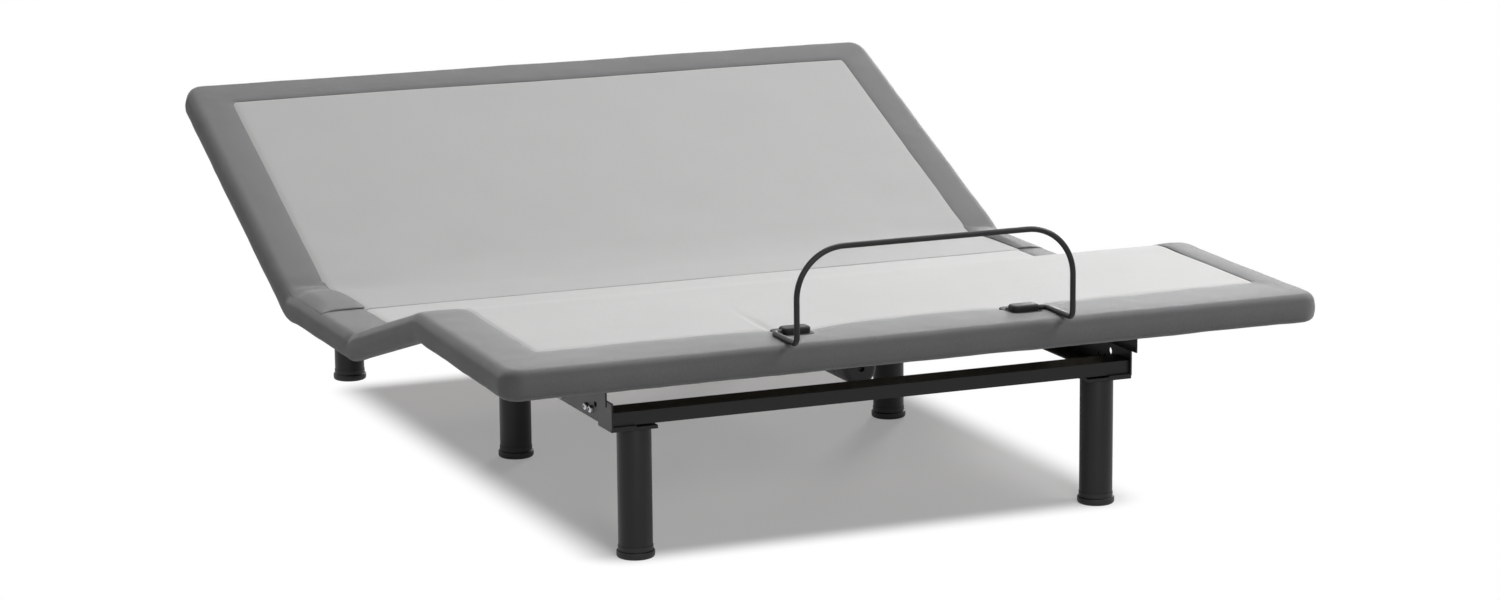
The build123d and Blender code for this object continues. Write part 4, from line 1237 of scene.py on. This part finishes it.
# The mattress retainer bar, bent from round rod and painted black. Each hooked end is held down
# by a pressed steel bracket: a rounded plate with a raised block over the hook, and two black screws.
PAINT_TONES = ((0.0085, 0.0085, 0.0088), (0.0140, 0.0140, 0.0142))
PAINT_SPREAD = (0.45, 0.75)
PAINT_PATCH = (25, 3.0)
PAINT_WAVES = (300, 2.0, 0.00003)
BAR_GLOSS = (0.32, 0.44)
BAR_SHINE = 0.28
BRACKET_GLOSS = (0.44, 0.58)
BRACKET_SHINE = 0.20
BAR_RADIUS = 0.005
PLATE_CORNER = 0.013
PLATE_EASE = 0.0012
PLATE_HEIGHT = 0.003
BLOCK_HALF = Vector((0.026, 0.015))
BLOCK_CORNER = 0.010
BLOCK_ROUND = 0.0045
BLOCK_LIFT = 0.001
BLOCK_BACK = 0.003
HOOK_BACK = 0.020
HOOK_LIFT = 0.001
HOOK_PLAY = 0.0003
HOOK_REACH = 0.035
CAP_RADIUS = 0.0055
CAP_ROUND = 0.0016
CROSS_HALF = Vector((0.0006, 0.0028, 0.0011))


def mirrored(piece, name):
    """The same piece for the other side of the bed."""
    twin = copy_to(piece, name, (0, 0, 0))
    twin.data.transform(Matrix.Diagonal((-1, 1, 1, 1)))
    finish_mesh(twin)
    return twin


bar_black = hard_finish("bar_black", PAINT_TONES, BAR_GLOSS, PAINT_PATCH, PAINT_WAVES,
                        PAINT_SPREAD, BAR_SHINE)
bracket_black = hard_finish("bracket_black", PAINT_TONES, BRACKET_GLOSS, PAINT_PATCH, PAINT_WAVES,
                            PAINT_SPREAD, BRACKET_SHINE)
dress(bar_black, "retainer_bar")
low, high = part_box("retainer_brackets")
plate_in = 2 * BRACKET_X[1] - high.x
plate_high = (high.x, high.y, low.z + PLATE_HEIGHT)
plate = rounded_block("bracket_plate", (plate_in, low.y, low.z), plate_high, UP, PLATE_CORNER, PLATE_EASE,
                      corner_steps=8)
hook_y = low.y + HOOK_BACK
hook_z = low.z + HOOK_LIFT + BAR_RADIUS
block_low = (BRACKET_X[1] - BLOCK_HALF.x, hook_y + BLOCK_BACK - BLOCK_HALF.y, low.z + BLOCK_LIFT)
block_high = (BRACKET_X[1] + BLOCK_HALF.x, hook_y + BLOCK_BACK + BLOCK_HALF.y, high.z)
block = rounded_block("bracket_block", block_low, block_high, UP, BLOCK_CORNER, BLOCK_ROUND, rim_steps=5)
finish_mesh(block)
finish_mesh(plate)
apply_modifier(plate, "BOOLEAN", object=block, operation="UNION", solver="EXACT")
bpy.data.objects.remove(block)
cut_away(plate, add_round("hook", (high.x, hook_y, hook_z), BAR_RADIUS + HOOK_PLAY, 2 * HOOK_REACH, "X"))
finish_mesh(plate)
brackets = join_pieces("bracket_pressings", [plate, mirrored(plate, "bracket_left")])
fit(brackets, bracket_black, "black_steel", "foot_section", "retainer_brackets")

low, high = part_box("bracket_screws")
caps = []
for x in (high.x - CAP_RADIUS, 2 * BRACKET_X[1] - high.x + CAP_RADIUS):
    top = Vector((x, (low.y + high.y) / 2, high.z))
    cap = add_round("cap", (top.x, top.y, (low.z + high.z) / 2), CAP_RADIUS, high.z - low.z, sides=32)
    ease_faces(cap, UP, CAP_ROUND, 4)
    finish_mesh(cap)
    cut_away(cap, add_block("cross", top - CROSS_HALF, top + CROSS_HALF))
    cut_away(cap, add_block("cross", top - CROSS_HALF.yxz, top + CROSS_HALF.yxz))
    caps += [cap, mirrored(cap, "cap_left")]
fit(join_pieces("bracket_screw_heads", caps), bar_black, "black_steel", "foot_section", "bracket_screws")
